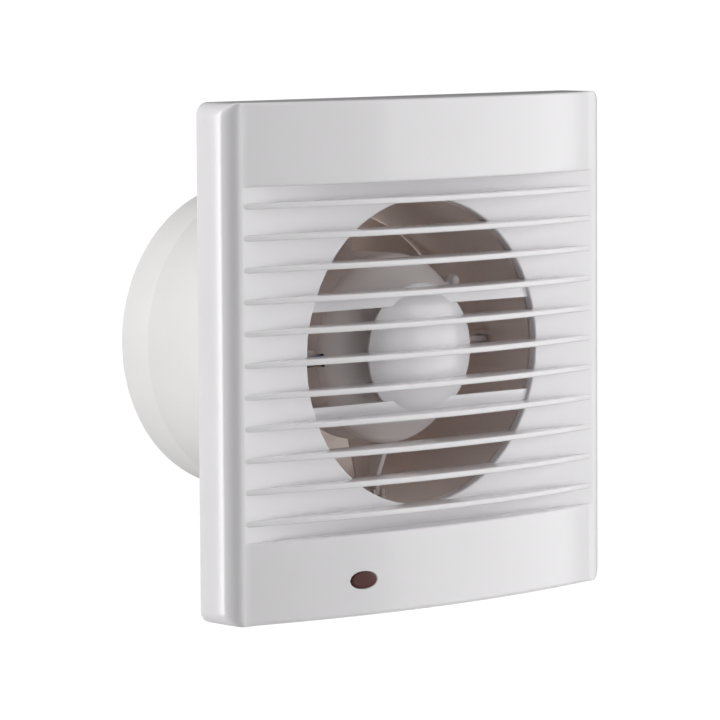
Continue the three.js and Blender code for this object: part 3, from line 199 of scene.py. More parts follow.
def make_turned_metal():
    """Fine streaks along one axis with spots of dulling."""
    tree, nodes, given, out = shader_group(
        "turned_metal",
        [("Streak Scale", 900.0), ("Stretch", 20.0), ("Roughness", 0.3), ("Spread", 0.15)],
        ["Streak", "Roughness", "Spots"])
    place = nodes.place()
    scale = nodes.add("ShaderNodeCombineXYZ", {"X": 1.0, "Y": given.outputs["Stretch"], "Z": 1.0})
    drawn = nodes.add("ShaderNodeVectorMath", {0: place, 1: scale.outputs[0]}, operation="MULTIPLY")
    streak = nodes.add("ShaderNodeTexNoise", {
        "Vector": drawn.outputs[0], "Scale": given.outputs["Streak Scale"], "Detail": 3.0})
    spots = nodes.add("ShaderNodeTexNoise", {"Vector": place, "Scale": 350.0, "Detail": 5.0,
                                             "Roughness": 0.7})
    offset = nodes.times(nodes.minus(streak.outputs["Fac"], 0.5), given.outputs["Spread"])
    nodes.feed(out.inputs["Streak"], streak.outputs["Fac"])
    nodes.feed(out.inputs["Roughness"], nodes.plus(given.outputs["Roughness"], offset, clamp=True))
    nodes.feed(out.inputs["Spots"], spots.outputs["Fac"])
    return tree


def make_duct_painted_shade():
    """A mask for the inner wall of the duct, where a warm tint is painted on as painted shade, darker still
    towards the rear.
    """
    tree, nodes, given, out = shader_group("duct_painted_shade", [("Radius", 0.048), ("Strength", 1.0)],
                                           ["Inside", "Rear"])
    place = nodes.place()
    at = nodes.add("ShaderNodeSeparateXYZ", {0: place})
    square = nodes.plus(nodes.math("POWER", at.outputs["X"], 2.0), nodes.math("POWER", at.outputs["Z"], 2.0))
    radius = nodes.math("SQRT", square)
    within = nodes.math("LESS_THAN", radius, given.outputs["Radius"])
    noise = nodes.add("ShaderNodeTexNoise", {"Vector": place, "Scale": 60.0, "Detail": 4.0})
    patchy = nodes.mapped(noise.outputs["Fac"], 0.3, 0.7, 0.82, 1.0)
    amount = nodes.times(nodes.times(within, patchy), given.outputs["Strength"])
    nodes.feed(out.inputs["Inside"], amount)
    # painted shade: the duct's inside grows darker towards its rear end
    rearward = nodes.mapped(at.outputs["Y"], 0.044, 0.066, 0.0, 1.0)
    nodes.feed(out.inputs["Rear"], nodes.times(nodes.times(within, patchy), rearward))
    return tree


MOULDED = make_moulded_surface()
WEAR_AND_SHADE = make_edge_wear_and_hollow_shade()
METAL = make_turned_metal()
DUCT_SHADE = make_duct_painted_shade()


# ---- Materials -----------------------------------------------------------------------
def new_material(name):
    material = bpy.data.materials.new(name)
    material.use_nodes = True
    tree = material.node_tree
    tree.nodes.clear()
    nodes = Nodes(tree)
    shader = nodes.add("ShaderNodeBsdfPrincipled")
    output = nodes.add("ShaderNodeOutputMaterial", {"Surface": shader.outputs[0]})
    return material, nodes, shader, output


def placed(nodes, group, values):
    node = nodes.add("ShaderNodeGroup", node_tree=group)
    for key, value in values.items():
        nodes.feed(node.inputs[key], value)
    return node


def blended(nodes, factor, first, second):
    node = nodes.add("ShaderNodeMix", data_type="RGBA")
    nodes.feed(node.inputs["Factor"], factor)
    nodes.feed(node.inputs["A"], first)
    nodes.feed(node.inputs["B"], second)
    return node.outputs["Result"]


def plastic(name, colour, roughness, shade=0.93, grain=0.5, coat=0.0, bump=0.00003, wear_and_shade=0.4, duct_shade=None):
    material, nodes, shader, _ = new_material(name)
    surface = placed(nodes, MOULDED, {
        "Roughness": roughness, "Grain Share": grain, "Gloss Spread": roughness * 0.35})
    # the amount sets both edge wear and the painted shade in hollows
    edge = placed(nodes, WEAR_AND_SHADE, {"Amount": wear_and_shade})
    base = (*colour, 1.0)
    deeper = (*(value * shade for value in colour), 1.0)
    lighter = (*(min(value * 1.05 + 0.01, 0.95) for value in colour), 1.0)
    tone = blended(nodes, nodes.mapped(surface.outputs["Tone"], 0.35, 0.65, 0.0, 1.0), deeper, base)
    # painted shade: hollows darkened towards the deeper tone
    tone = blended(nodes, nodes.times(edge.outputs["Painted Hollow Shade"], 0.5), tone, deeper)
    # painted shade: a warm tint on the duct's inner wall, and a darker tint towards its rear
    if duct_shade:
        inside = placed(nodes, DUCT_SHADE, {"Radius": DUCT_SHADE_RADIUS * MM})
        tone = blended(nodes, inside.outputs["Inside"], tone, (*duct_shade, 1.0))
        tone = blended(nodes, inside.outputs["Rear"], tone, (*(value * 0.52 for value in duct_shade), 1.0))
    nodes.feed(shader.inputs["Base Color"], blended(nodes, edge.outputs["Edge"], tone, lighter))
    worn = nodes.times(edge.outputs["Edge"], 0.06)
    nodes.feed(shader.inputs["Roughness"], nodes.plus(surface.outputs["Roughness"], worn, clamp=True))
    relief = nodes.add("ShaderNodeBump", {"Strength": 0.5, "Distance": bump,
                                          "Height": surface.outputs["Height"]})
    nodes.feed(shader.inputs["Normal"], relief.outputs["Normal"])
    shader.inputs["Coat Weight"].default_value = coat
    shader.inputs["Coat Roughness"].default_value = 0.08
    shader.inputs["IOR"].default_value = 1.5
    return material


def metal(name, colour, roughness, dull, stretch=20.0, bump=0.00002):
    material, nodes, shader, _ = new_material(name)
    drawn = placed(nodes, METAL, {"Roughness": roughness, "Stretch": stretch})
    edge = placed(nodes, WEAR_AND_SHADE, {"Amount": 0.6})
    tone = blended(nodes, nodes.mapped(drawn.outputs["Spots"], 0.4, 0.7, 0.0, 1.0), (*colour, 1.0),
                   (*dull, 1.0))
    lighter = (*(min(value * 1.15, 1.0) for value in colour), 1.0)
    nodes.feed(shader.inputs["Base Color"], blended(nodes, edge.outputs["Edge"], tone, lighter))
    nodes.feed(shader.inputs["Roughness"], drawn.outputs["Roughness"])
    shader.inputs["Metallic"].default_value = 1.0
    relief = nodes.add("ShaderNodeBump", {"Strength": 0.4, "Distance": bump,
                                          "Height": drawn.outputs["Streak"]})
    nodes.feed(shader.inputs["Normal"], relief.outputs["Normal"])
    return material


def striped(name, colour, dark, roughness, across, spacing, metallic=1.0):
    """Metal or wire laid in even layers: sheet edges or turns of wire."""
    material, nodes, shader, _ = new_material(name)
    place = nodes.place()
    wave = nodes.add("ShaderNodeTexWave", {
        "Vector": place, "Scale": 0.3142 / spacing, "Distortion": 0.4, "Detail": 1.0},
        wave_type="BANDS", bands_direction=across, wave_profile="SIN")
    spots = placed(nodes, METAL, {"Roughness": roughness})
    tone = blended(nodes, nodes.mapped(wave.outputs["Fac"], 0.1, 0.6, 0.0, 1.0), (*dark, 1.0), (*colour, 1.0))
    mottle = nodes.times(spots.outputs["Spots"], 0.25)
    nodes.feed(shader.inputs["Base Color"], blended(nodes, mottle, tone, (*dark, 1.0)))
    nodes.feed(shader.inputs["Roughness"], spots.outputs["Roughness"])
    shader.inputs["Metallic"].default_value = metallic
    relief = nodes.add("ShaderNodeBump", {"Strength": 0.8, "Distance": spacing * 0.2,
                                          "Height": wave.outputs["Fac"]})
    nodes.feed(shader.inputs["Normal"], relief.outputs["Normal"])
    return material


def lens_material():
    material = plastic("ruby_lens", (0.10, 0.026, 0.021), 0.22, shade=0.75, grain=0.1, wear_and_shade=0.2)
    material.node_tree.nodes["Principled BSDF"].inputs["Specular IOR Level"].default_value = 0.25
    return material


def neon_material():
    material, nodes, shader, _ = new_material("neon_bulb_glass")
    surface = placed(nodes, MOULDED, {"Roughness": 0.04, "Grain Share": 0.05, "Gloss Spread": 0.03})
    shader.inputs["Base Color"].default_value = (0.97, 0.95, 0.93, 1.0)
    nodes.feed(shader.inputs["Roughness"], surface.outputs["Roughness"])
    shader.inputs["Transmission Weight"].default_value = 1.0
    shader.inputs["IOR"].default_value = 1.47
    return material


COVER = plastic("cover_gloss_white", (0.855, 0.84, 0.855), 0.2, shade=0.98, grain=0.25, coat=0.25,
                bump=0.000012)
# the warm colour given for the duct's inside is painted shade, not the plastic's own colour
HOUSING = plastic("housing_satin_white", (0.875, 0.865, 0.86), 0.34, shade=0.97, duct_shade=(0.92, 0.785, 0.725))
PODS = plastic("pod_satin_offwhite", (0.92, 0.865, 0.855), 0.32, shade=0.97)
IMPELLER = plastic("impeller_satin_offwhite", (0.88, 0.775, 0.73), 0.38, shade=0.95)
NYLON = plastic("terminal_natural_nylon", (0.66, 0.62, 0.50), 0.45, shade=0.9, bump=0.00005)
RUBBER = plastic("grommet_black_rubber", (0.022, 0.022, 0.023), 0.7, shade=0.7, grain=1.0, bump=0.00008)
BROWN = plastic("wire_brown_sleeve", (0.10, 0.045, 0.022), 0.42, shade=0.8)
BLUE = plastic("wire_blue_sleeve", (0.025, 0.11, 0.34), 0.42, shade=0.8)
LENS = lens_material()
NEON = neon_material()
ZINC = metal("screw_bright_zinc", (0.70, 0.71, 0.73), 0.28, (0.52, 0.53, 0.55))
BRASS = metal("terminal_brass", (0.72, 0.52, 0.22), 0.3, (0.50, 0.34, 0.14))
STEEL = metal("shaft_ground_steel", (0.72, 0.73, 0.74), 0.2, (0.60, 0.60, 0.61), stretch=60.0)
CAST = metal("bracket_pressed_aluminium", (0.66, 0.67, 0.68), 0.42, (0.50, 0.51, 0.52), stretch=2.0)
BRONZE = metal("bearing_sintered_bronze", (0.46, 0.31, 0.15), 0.5, (0.26, 0.17, 0.09), stretch=1.0)
STACK = striped("stator_sheet_stack", (0.34, 0.35, 0.36), (0.10, 0.10, 0.11), 0.5, "Y", 0.0006)
WINDING = striped("winding_enamelled_wire", (0.50, 0.19, 0.07), (0.16, 0.05, 0.02), 0.3, "X", 0.0005)


# ---- Mesh building ---------------------------------------------------------------------
def turns(count):
    """Evenly spaced angles round a full circle."""
    return [2 * math.pi * k / count for k in range(count)]


class Shell:
    """Points in millimetres and faces between them, for one or more closed skins."""

    def __init__(self):
        self.points = []
        self.faces = []

    def point(self, x, y, z):
        self.points.append((x * MM, y * MM, z * MM))
        return len(self.points) - 1

    def row(self, points):
        return [self.point(*point) for point in points]

    def face(self, *corners):
        self.faces.append(corners)

    def strip(self, first, second, closed=False):
        count = len(first)
        for index in range(count if closed else count - 1):
            after = (index + 1) % count
            self.face(first[index], first[after], second[after], second[index])

    def strips(self, rows, closed=False, looped=False):
        for index in range(len(rows) if looped else len(rows) - 1):
            self.strip(rows[index], rows[(index + 1) % len(rows)], closed)

    def turned(self, profile, sides, centre=(0.0, 0.0)):
        """A skin turned about a line along Y. A point of radius 0 closes an end."""
        cx, cz = centre
        rows = []
        for radius, y in profile:
            if radius < 1e-6:
                rows.append([self.point(cx, y, cz)])
            else:
                rows.append(self.row([
                    (cx + radius * math.cos(turn), y,
                     cz + radius * math.sin(turn)) for turn in turns(sides)]))
        pairs = list(zip(rows, rows[1:]))
        if len(rows[0]) > 1:
            pairs.append((rows[-1], rows[0]))
        for first, second in pairs:
            if len(first) == 1 and len(second) == 1:
                continue
            if len(first) == 1 or len(second) == 1:
                ring, tip = (second, first[0]) if len(first) == 1 else (first, second[0])
                for k in range(sides):
                    self.face(ring[k], ring[(k + 1) % sides], tip)
            else:
                self.strip(first, second, closed=True)

    def prism(self, outline, place):
        """outline is a list of 2-D points; place(point, end) gives the 3-D point at end 0 or 1."""
        first = self.row([place(point, 0) for point in outline])
        second = self.row([place(point, 1) for point in outline])
        self.strip(first, second, closed=True)
        self.face(*first)
        self.face(*reversed(second))

    def box(self, x0, x1, y0, y1, z0, z1):
        outline = [(x0, z0), (x1, z0), (x1, z1), (x0, z1)]
        self.prism(outline, lambda point, end: (point[0], (y0, y1)[end], point[1]))

    def mesh(self, name):
        data = bpy.data.meshes.new(name)
        data.from_pydata(self.points, [], self.faces)
        tidy(data)
        return data

    def thing(self, name):
        return made(name, self.mesh(name))


def tidy(data):
    work = bmesh.new()
    work.from_mesh(data)
    bmesh.ops.remove_doubles(work, verts=work.verts, dist=2e-7)
    bmesh.ops.recalc_face_normals(work, faces=work.faces)
    work.to_mesh(data)
    work.free()
    data.update()


def shade(data, angle=32):
    data.polygons.foreach_set("use_smooth", [True] * len(data.polygons))
    data.set_sharp_from_angle(angle=math.radians(angle))


def made(name, data):
    thing = bpy.data.objects.new(name, data)
    scene.collection.objects.link(thing)
    return thing


def applied(thing):
    """The object's mesh with its modifiers worked in, as plain mesh data."""
    bpy.context.view_layer.update()
    seen = thing.evaluated_get(bpy.context.evaluated_depsgraph_get())
    data = bpy.data.meshes.new_from_object(seen)
    data.name = thing.name
    return data


def settle(thing):
    """Works the modifiers in for good."""
    data = applied(thing)
    thing.modifiers.clear()
    old = thing.data
    thing.data = data
    bpy.data.meshes.remove(old)
    return thing


def cut(thing, shell):
    """Takes the shell's skins away from the object."""
    tool = shell.thing("cutter")
    modifier = thing.modifiers.new("cut", "BOOLEAN")
    modifier.operation = "DIFFERENCE"
    modifier.solver = "EXACT"
    modifier.object = tool
    settle(thing)
    bpy.data.objects.remove(tool)
    return thing


def eased(thing, width, segments=2, angle=40):
    modifier = thing.modifiers.new("eased", "BEVEL")
    modifier.width = width * MM
    modifier.segments = segments
    modifier.limit_method = "ANGLE"
    modifier.angle_limit = math.radians(angle)
    return settle(thing)


def piece(thing, body, material, slot, *nodes, angle=32):
    data = thing.data
    data.materials.clear()
    data.materials.append(material)
    data.polygons.foreach_set("material_index", [0] * len(data.polygons))
    shade(data, angle)
    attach(thing, body)
    if nodes:
        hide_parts(*nodes)
    return thing


def polar(radius, degrees):
    angle = math.radians(degrees)
    return radius * math.cos(angle), radius * math.sin(angle)


# ---- Front cover -----------------------------------------------------------------------
FRONT_COLUMNS = 72
ARC_STEPS = 8


def bow(x):
    return max(0.0, BULGE * (1 - (x / BOW_HALF) ** 2))


def cover_stations():
    """Heights of the plan sections, from the middle outwards: (outer z, half width, bowed,
    edge drop, inner z, inner half width)."""
    rows = []
    for z in (0, 8, 16, 24, 32, 40, 47, 51):
        rows.append((z, HALF_WIDTH, 0, 0, z, HALF_WIDTH - SKIN))
    rows.append((RECESS, HALF_WIDTH, 0, 0, RECESS + SKIN, HALF_WIDTH - SKIN))
    for step in range(6):
        turn = math.pi / 2 * step / 5
        rows.append((RECESS + EDGE * (1 - math.cos(turn)), HALF_WIDTH, 1, EDGE * (1 - math.sin(turn)),
                     RECESS + SKIN + 0.08 * step, HALF_WIDTH - SKIN))
    for z in (57, 59.5, 61.9, 63.4, 65.2, 67.08, 69, 70.8, 72.3):
        rows.append((z, HALF_WIDTH, 1, 0, z, HALF_WIDTH - SKIN))
    inner_corner = CORNER - SKIN
    for step in range(11):
        turn = math.pi / 2 * step / 10
        z = HALF_HEIGHT - CORNER + CORNER * math.sin(turn)
        over = max(0.0, z - (HALF_HEIGHT - EDGE))
        drop = EDGE - math.sqrt(max(EDGE ** 2 - over ** 2, 0.0))
        rows.append((z, HALF_WIDTH - CORNER + CORNER * math.cos(turn), 1, drop,
                     HALF_HEIGHT - CORNER + inner_corner * math.sin(turn),
                     HALF_WIDTH - CORNER + inner_corner * math.cos(turn)))
    lower = [(-z, w, b, e, -iz, iw) for z, w, b, e, iz, iw in rows[:0:-1]]
    return lower + rows


def front_columns():
    return [BOW_HALF * (2 * k / FRONT_COLUMNS - 1) for k in range(FRONT_COLUMNS + 1)]


def outer_front(x, bowed, drop):
    rise = bow(x)
    return FRONT - bowed * rise + drop * (min(1.0, rise) if bowed else 1.0)


def outer_path(half, bowed, drop):
    """Plan section of the outside from the left rear edge round to the right rear edge."""
    centre = BOW_HALF + 0.3
    radius = half - centre
    side = [(half, REAR), (half, -3.5), (half, -7.0)]
    for step in range(ARC_STEPS + 1):
        turn = math.pi / 2 * step / ARC_STEPS
        side.append((centre + radius * math.cos(turn), FRONT + radius - radius * math.sin(turn)))
    left = [(-x, y) for x, y in side]
    middle = [(x, outer_front(x, bowed, drop)) for x in front_columns()]
    return left + middle + side[::-1]


def inner_front(x, bowed):
    rise = bow(x)
    return FLOOR_BACK - bowed * max(0.0, rise + 0.5 * min(1.0, rise / 2))


def inner_path(half, bowed):
    radius = 0.9
    side = [(half, REAR), (half, -3.5), (half, -7.0)]
    for step in range(ARC_STEPS + 1):
        turn = math.pi / 2 * step / ARC_STEPS
        side.append((half - radius + radius * math.cos(turn), FLOOR_BACK + radius - radius * math.sin(turn)))
    left = [(-x, y) for x, y in side]
    middle = [(x * 0.985, inner_front(x, bowed)) for x in front_columns()]
    return left + middle + side[::-1]


def hole_patch(shell, columns, stations, rows, centre, half, wall, edge):
    """Fills the window left in the outer and inner skins round an oval hole. rows is
    (outer rows, inner rows); wall(x, share) gives Y from the outside (0) to the inside (1)."""
    c0, c1 = columns
    s0, s1 = stations
    loop = [(s0, c) for c in range(c0, c1)] + [(s, c1) for s in range(s0, s1)]
    loop += [(s1, c) for c in range(c1, c0, -1)] + [(s, c0) for s in range(s1, s0, -1)]
    turns = []
    for s, c in loop:
        x, _, z = shell.points[rows[0][s][c]]
        turns.append(math.atan2((z / MM - centre[1]) / half[1], (x / MM - centre[0]) / half[0]))

    def ring(grow, share):
        made_row = []
        for turn in turns:
            x = centre[0] + (half[0] + grow) * math.cos(turn)
            z = centre[1] + (half[1] + grow) * math.sin(turn)
            made_row.append(shell.point(x, wall(x, share), z))
        return made_row

    outer_loop = [rows[0][s][c] for s, c in loop]
    inner_loop = [rows[1][s][c] for s, c in loop]
    rings = [outer_loop, ring(edge * 1.6, 0.0)]
    for step in range(7):
        turn = math.pi / 2 * step / 6
        rings.append(ring(edge * (1 - math.sin(turn)), edge * (1 - math.cos(turn)) / SKIN))
    rings += [ring(0.0, 0.92), ring(0.15, 0.98), ring(0.45, 1.0), inner_loop]
    shell.strips(rings, closed=True)


def cover_shell():
    shell = Shell()
    stations = cover_stations()
    outer = [shell.row([(x, y, z) for x, y in outer_path(w, b, e)]) for z, w, b, e, _, _ in stations]
    inner = [shell.row([(x, y, iz) for x, y in inner_path(iw, b)]) for _, _, b, _, iz, iw in stations]
    first = 3 + ARC_STEPS + 1
    heights = [station[0] for station in stations]
    columns = front_columns()

    def window(x0, x1, z0, z1):
        inside = [k for k, x in enumerate(columns) if x0 <= x <= x1]
        across = [k for k, z in enumerate(heights) if z0 <= z <= z1]
        return (first + inside[0], first + inside[-1]), (across[0], across[-1])

    opening = window(-60, 60, -51.5, 51.5)
    lamp = window(LAMP[0] - 7.5, LAMP[0] + 7.5, -72.5, -61.5)
    for skin in (outer, inner):
        for s in range(len(skin) - 1):
            for c in range(len(skin[s]) - 1):
                skipped = any(
                    cols[0] <= c < cols[1] and sts[0] <= s < sts[1] for cols, sts in (opening, lamp))
                if not skipped:
                    shell.face(skin[s][c], skin[s][c + 1], skin[s + 1][c + 1], skin[s + 1][c])
    for end in (0, -1):
        shell.face(*outer[end])
        shell.face(*inner[end])
        shell.face(outer[end][0], outer[end][-1], inner[end][-1], inner[end][0])
    for side in (0, -1):
        shell.strip([row[side] for row in outer], [row[side] for row in inner])
    hole_patch(shell, *opening, (outer, inner), (0, 0), (OPENING, OPENING),
               lambda x, share: FRONT + (FLOOR_BACK - FRONT) * share, 0.6)
    half = (LAMP_HALF[0] + 0.15, LAMP_HALF[1] + 0.15)
    hole_patch(shell, *lamp, (outer, inner), LAMP, half,
               lambda x, share: outer_front(x, 1, 0) + (inner_front(x, 1) - outer_front(x, 1, 0)) * share,
               0.3)
    thing = shell.thing("cover_shell")
    slot = Shell()
    slot.box(-6, 6, REAR - 1.6, 0.5, -HALF_HEIGHT - 0.5, -HALF_HEIGHT + SKIN + 0.5)
    return cut(thing, slot)


def cover_pegs():
    shell = Shell()
    for x, z in PEGS:
        shell.turned([(0, -13.2), (3.1, -13.2), (3.1, -12.6), (2.75, -12.2), (2.6, -11.6), (2.6, -5.0),
                      (2.2, -4.55),
                      (1.9, -4.5), (0, -4.5)], 32, (x, z))
    return shell.thing("cover_pegs")


def cross_bars():
    """The two bars against the fourth and eighth rib, which carry the disc. Their ends follow
    the round opening, a little inside its wall."""
    shell = Shell()
    rib_face = 2 * PITCH - RIB_THICKNESS / 2
    reach = OPENING + 0.3
    for low, high in ((rib_face - UPPER_BAR, rib_face + BAR_LAP),
                      (-rib_face - BAR_LAP, -rib_face + LOWER_BAR)):
        levels = [low + (high - low) * step / 4 for step in range(5)]
        outline = [(math.sqrt(reach ** 2 - z ** 2), z) for z in levels]
        outline += [(-x, z) for x, z in reversed(outline)]
        ends = (FRONT + DISC_SETBACK + BAR_OFFSET, FLOOR_BACK + 0.02)
        shell.prism(outline, lambda point, end: (point[0], ends[end], point[1]))
    return eased(shell.thing("cover_cross_bars"), 0.3)


def centre_disc():
    rim = FRONT + DISC_SETBACK
    rise = DOME_RISE + DISC_RIM_FALL
    reach = DISC - 0.3
    sphere = (reach ** 2 + rise ** 2) / (2 * rise)
    profile = [(0, rim - DOME_RISE)]
    for step in range(1, 33):
        radius = reach * step / 32
        profile.append((radius, rim - DOME_RISE + sphere - math.sqrt(sphere ** 2 - radius ** 2)))
    profile += [(DISC - 0.08, rim + DISC_RIM_FALL + 0.1), (DISC, rim + DISC_RIM_FALL + 0.3),
                (DISC, FLOOR_BACK - 0.3),
                (DISC - 0.3, FLOOR_BACK), (0, FLOOR_BACK)]
    shell = Shell()
    shell.turned(profile, 144)
    return shell.thing("cover_centre_disc")


# ---- Geometry node trees -----------------------------------------------------------------
def geometry_tree(name, inputs):
    tree = bpy.data.node_groups.new(name, "GeometryNodeTree")
    for label, kind, value in inputs:
        socket = tree.interface.new_socket(name=label, in_out="INPUT", socket_type=kind)
        if value is not None:
            socket.default_value = value
    tree.interface.new_socket(name="Geometry", in_out="OUTPUT", socket_type="NodeSocketGeometry")
    nodes = Nodes(tree)
    return tree, nodes, nodes.add("NodeGroupInput").outputs, nodes.add("NodeGroupOutput")


def dressed(tree, nodes, copies, material, out):
    """Ends a tree: its copies made real and given their material."""
    real = nodes.add("GeometryNodeRealizeInstances", {0: copies.outputs[0]})
    finished = nodes.add("GeometryNodeSetMaterial", {"Geometry": real.outputs[0], "Material": material})
    nodes.feed(out.inputs[0], finished.outputs[0])
    return tree


def grown(name, tree, values, data=None):
    """A plain mesh object grown by a geometry tree from the given inputs."""
    thing = made(name, data or bpy.data.meshes.new(name))
    modifier = thing.modifiers.new(name, "NODES")
    modifier.node_group = tree
    sockets = {item.name: item.identifier for item in tree.interface.items_tree if item.in_out == "INPUT"}
    for label, value in values.items():
        modifier[sockets[label]] = value
    settle(thing)
    tidy(thing.data)
    return thing


def vector(nodes, x=0.0, y=0.0, z=0.0):
    return nodes.add("ShaderNodeCombineXYZ", {"X": x, "Y": y, "Z": z}).outputs[0]


def louvre_tree():
    """Bowed ribs, one above another: a filleted section run along a line, its front pushed
    out to the bow, and the rib repeated at even heights."""
    number, whole = "NodeSocketFloat", "NodeSocketInt"
    tree, nodes, given, out = geometry_tree("louvre_ribs", [
        ("Count", whole, RIB_COUNT), ("Pitch", number, PITCH * MM), ("Half Width", number, BOW_HALF * MM),
        ("Bulge", number, BULGE * MM), ("Thickness", number, RIB_THICKNESS * MM), ("Depth", number, 0.0026),
        ("Edge Radius", number, 0.0005), ("Front", number, FRONT * MM),
        ("Material", "NodeSocketMaterial", None)])
    half = given["Half Width"]
    line = nodes.add("GeometryNodeCurvePrimitiveLine", {
        "Start": vector(nodes, nodes.times(half, -1.0)), "End": vector(nodes, half)})
    path = nodes.add("GeometryNodeResampleCurve", {"Curve": line.outputs[0], "Count": 97})
    section = nodes.add("GeometryNodeCurvePrimitiveQuadrilateral", {
        "Width": given["Depth"], "Height": given["Thickness"]}, mode="RECTANGLE")
    rounded = nodes.add("GeometryNodeFilletCurve", {
        "Curve": section.outputs[0], "Radius": given["Edge Radius"], "Count": 4}, mode="POLY")
    rib = nodes.add("GeometryNodeCurveToMesh", {
        "Curve": path.outputs[0], "Profile Curve": rounded.outputs[0], "Fill Caps": True})
    at = nodes.add("ShaderNodeSeparateXYZ", {0: nodes.add("GeometryNodeInputPosition").outputs[0]})
    share = nodes.math("POWER", nodes.over(at.outputs["X"], half), 2.0)
    rise = nodes.times(nodes.minus(1.0, share), given["Bulge"])
    ahead = nodes.math("LESS_THAN", at.outputs["Y"], 0.0)
    push = nodes.times(nodes.times(rise, ahead), -1.0)
    seat = nodes.plus(given["Front"], nodes.times(given["Depth"], 0.5))
    bowed = nodes.add("GeometryNodeSetPosition", {
        "Geometry": rib.outputs[0], "Offset": vector(nodes, y=nodes.plus(push, seat))})
    low = nodes.times(nodes.minus(given["Count"], 1.0), nodes.times(given["Pitch"], -0.5))
    column = nodes.add("GeometryNodeMeshLine", {
        "Count": given["Count"], "Start Location": vector(nodes, z=low),
        "Offset": vector(nodes, z=given["Pitch"])})
    copies = nodes.add("GeometryNodeInstanceOnPoints",
                       {"Points": column.outputs[0], "Instance": bowed.outputs[0]})
    return dressed(tree, nodes, copies, given["Material"], out)


def blade_tree():
    """Twisted, cambered fan blades: a slab of points given chord, camber and twist
    by its span, wrapped round the axis and repeated about it."""
    number, whole = "NodeSocketFloat", "NodeSocketInt"
    tree, nodes, given, out = geometry_tree("fan_blades", [
        ("Count", whole, BLADES), ("Root Radius", number, 0.0215), ("Tip Radius", number, 0.0461),
        ("Root Chord", number, 0.021), ("Tip Chord", number, 0.028), ("Root Pitch", number, math.radians(48)),
        ("Tip Pitch", number, math.radians(28)), ("Camber", number, 0.0024), ("Thickness", number, 0.0016),
        ("Middle", number, 0.034), ("First Angle", number, math.radians(42)),
        ("Material", "NodeSocketMaterial", None)])
    slab = nodes.add("GeometryNodeMeshCube", {
        "Size": (1.0, 1.0, 1.0), "Vertices X": 25, "Vertices Y": 3, "Vertices Z": 17})
    at = nodes.add("ShaderNodeSeparateXYZ", {0: nodes.add("GeometryNodeInputPosition").outputs[0]})
    along = nodes.plus(at.outputs["Z"], 0.5)

    def between(first, second):
        return nodes.plus(first, nodes.times(nodes.minus(second, first), along))

    chord = between(given["Root Chord"], given["Tip Chord"])
    pitch = between(given["Root Pitch"], given["Tip Pitch"])
    radius = between(given["Root Radius"], given["Tip Radius"])
    across = nodes.times(at.outputs["X"], chord)
    square = nodes.times(nodes.math("POWER", at.outputs["X"], 2.0), 4.0)
    fullness = nodes.minus(1.0, square)
    thick = nodes.times(given["Thickness"], nodes.plus(0.35, nodes.times(fullness, 0.65)))
    lift = nodes.plus(nodes.times(at.outputs["Y"], thick),
                      nodes.times(given["Camber"], nodes.minus(fullness, 0.5)))
    sine, cosine = nodes.math("SINE", pitch), nodes.math("COSINE", pitch)
    depth = nodes.minus(nodes.times(across, sine), nodes.times(lift, cosine))
    side = nodes.plus(nodes.times(lift, sine), nodes.times(across, cosine))
    turn = nodes.over(side, radius)
    shaped = nodes.add("GeometryNodeSetPosition", {"Geometry": slab.outputs[0], "Position": vector(
        nodes, nodes.times(radius, nodes.math("COSINE", turn)), nodes.plus(given["Middle"], depth),
        nodes.times(radius, nodes.math("SINE", turn)))})
    stations = nodes.add("GeometryNodePoints", {"Count": given["Count"], "Position": (0.0, 0.0, 0.0)})
    index = nodes.add("GeometryNodeInputIndex").outputs[0]
    step = nodes.over(-2 * math.pi, given["Count"])
    spin = vector(nodes, y=nodes.minus(nodes.times(index, step), given["First Angle"]))
    copies = nodes.add("GeometryNodeInstanceOnPoints", {
        "Points": stations.outputs[0], "Instance": shaped.outputs[0], "Rotation": spin})
    return dressed(tree, nodes, copies, given["Material"], out)


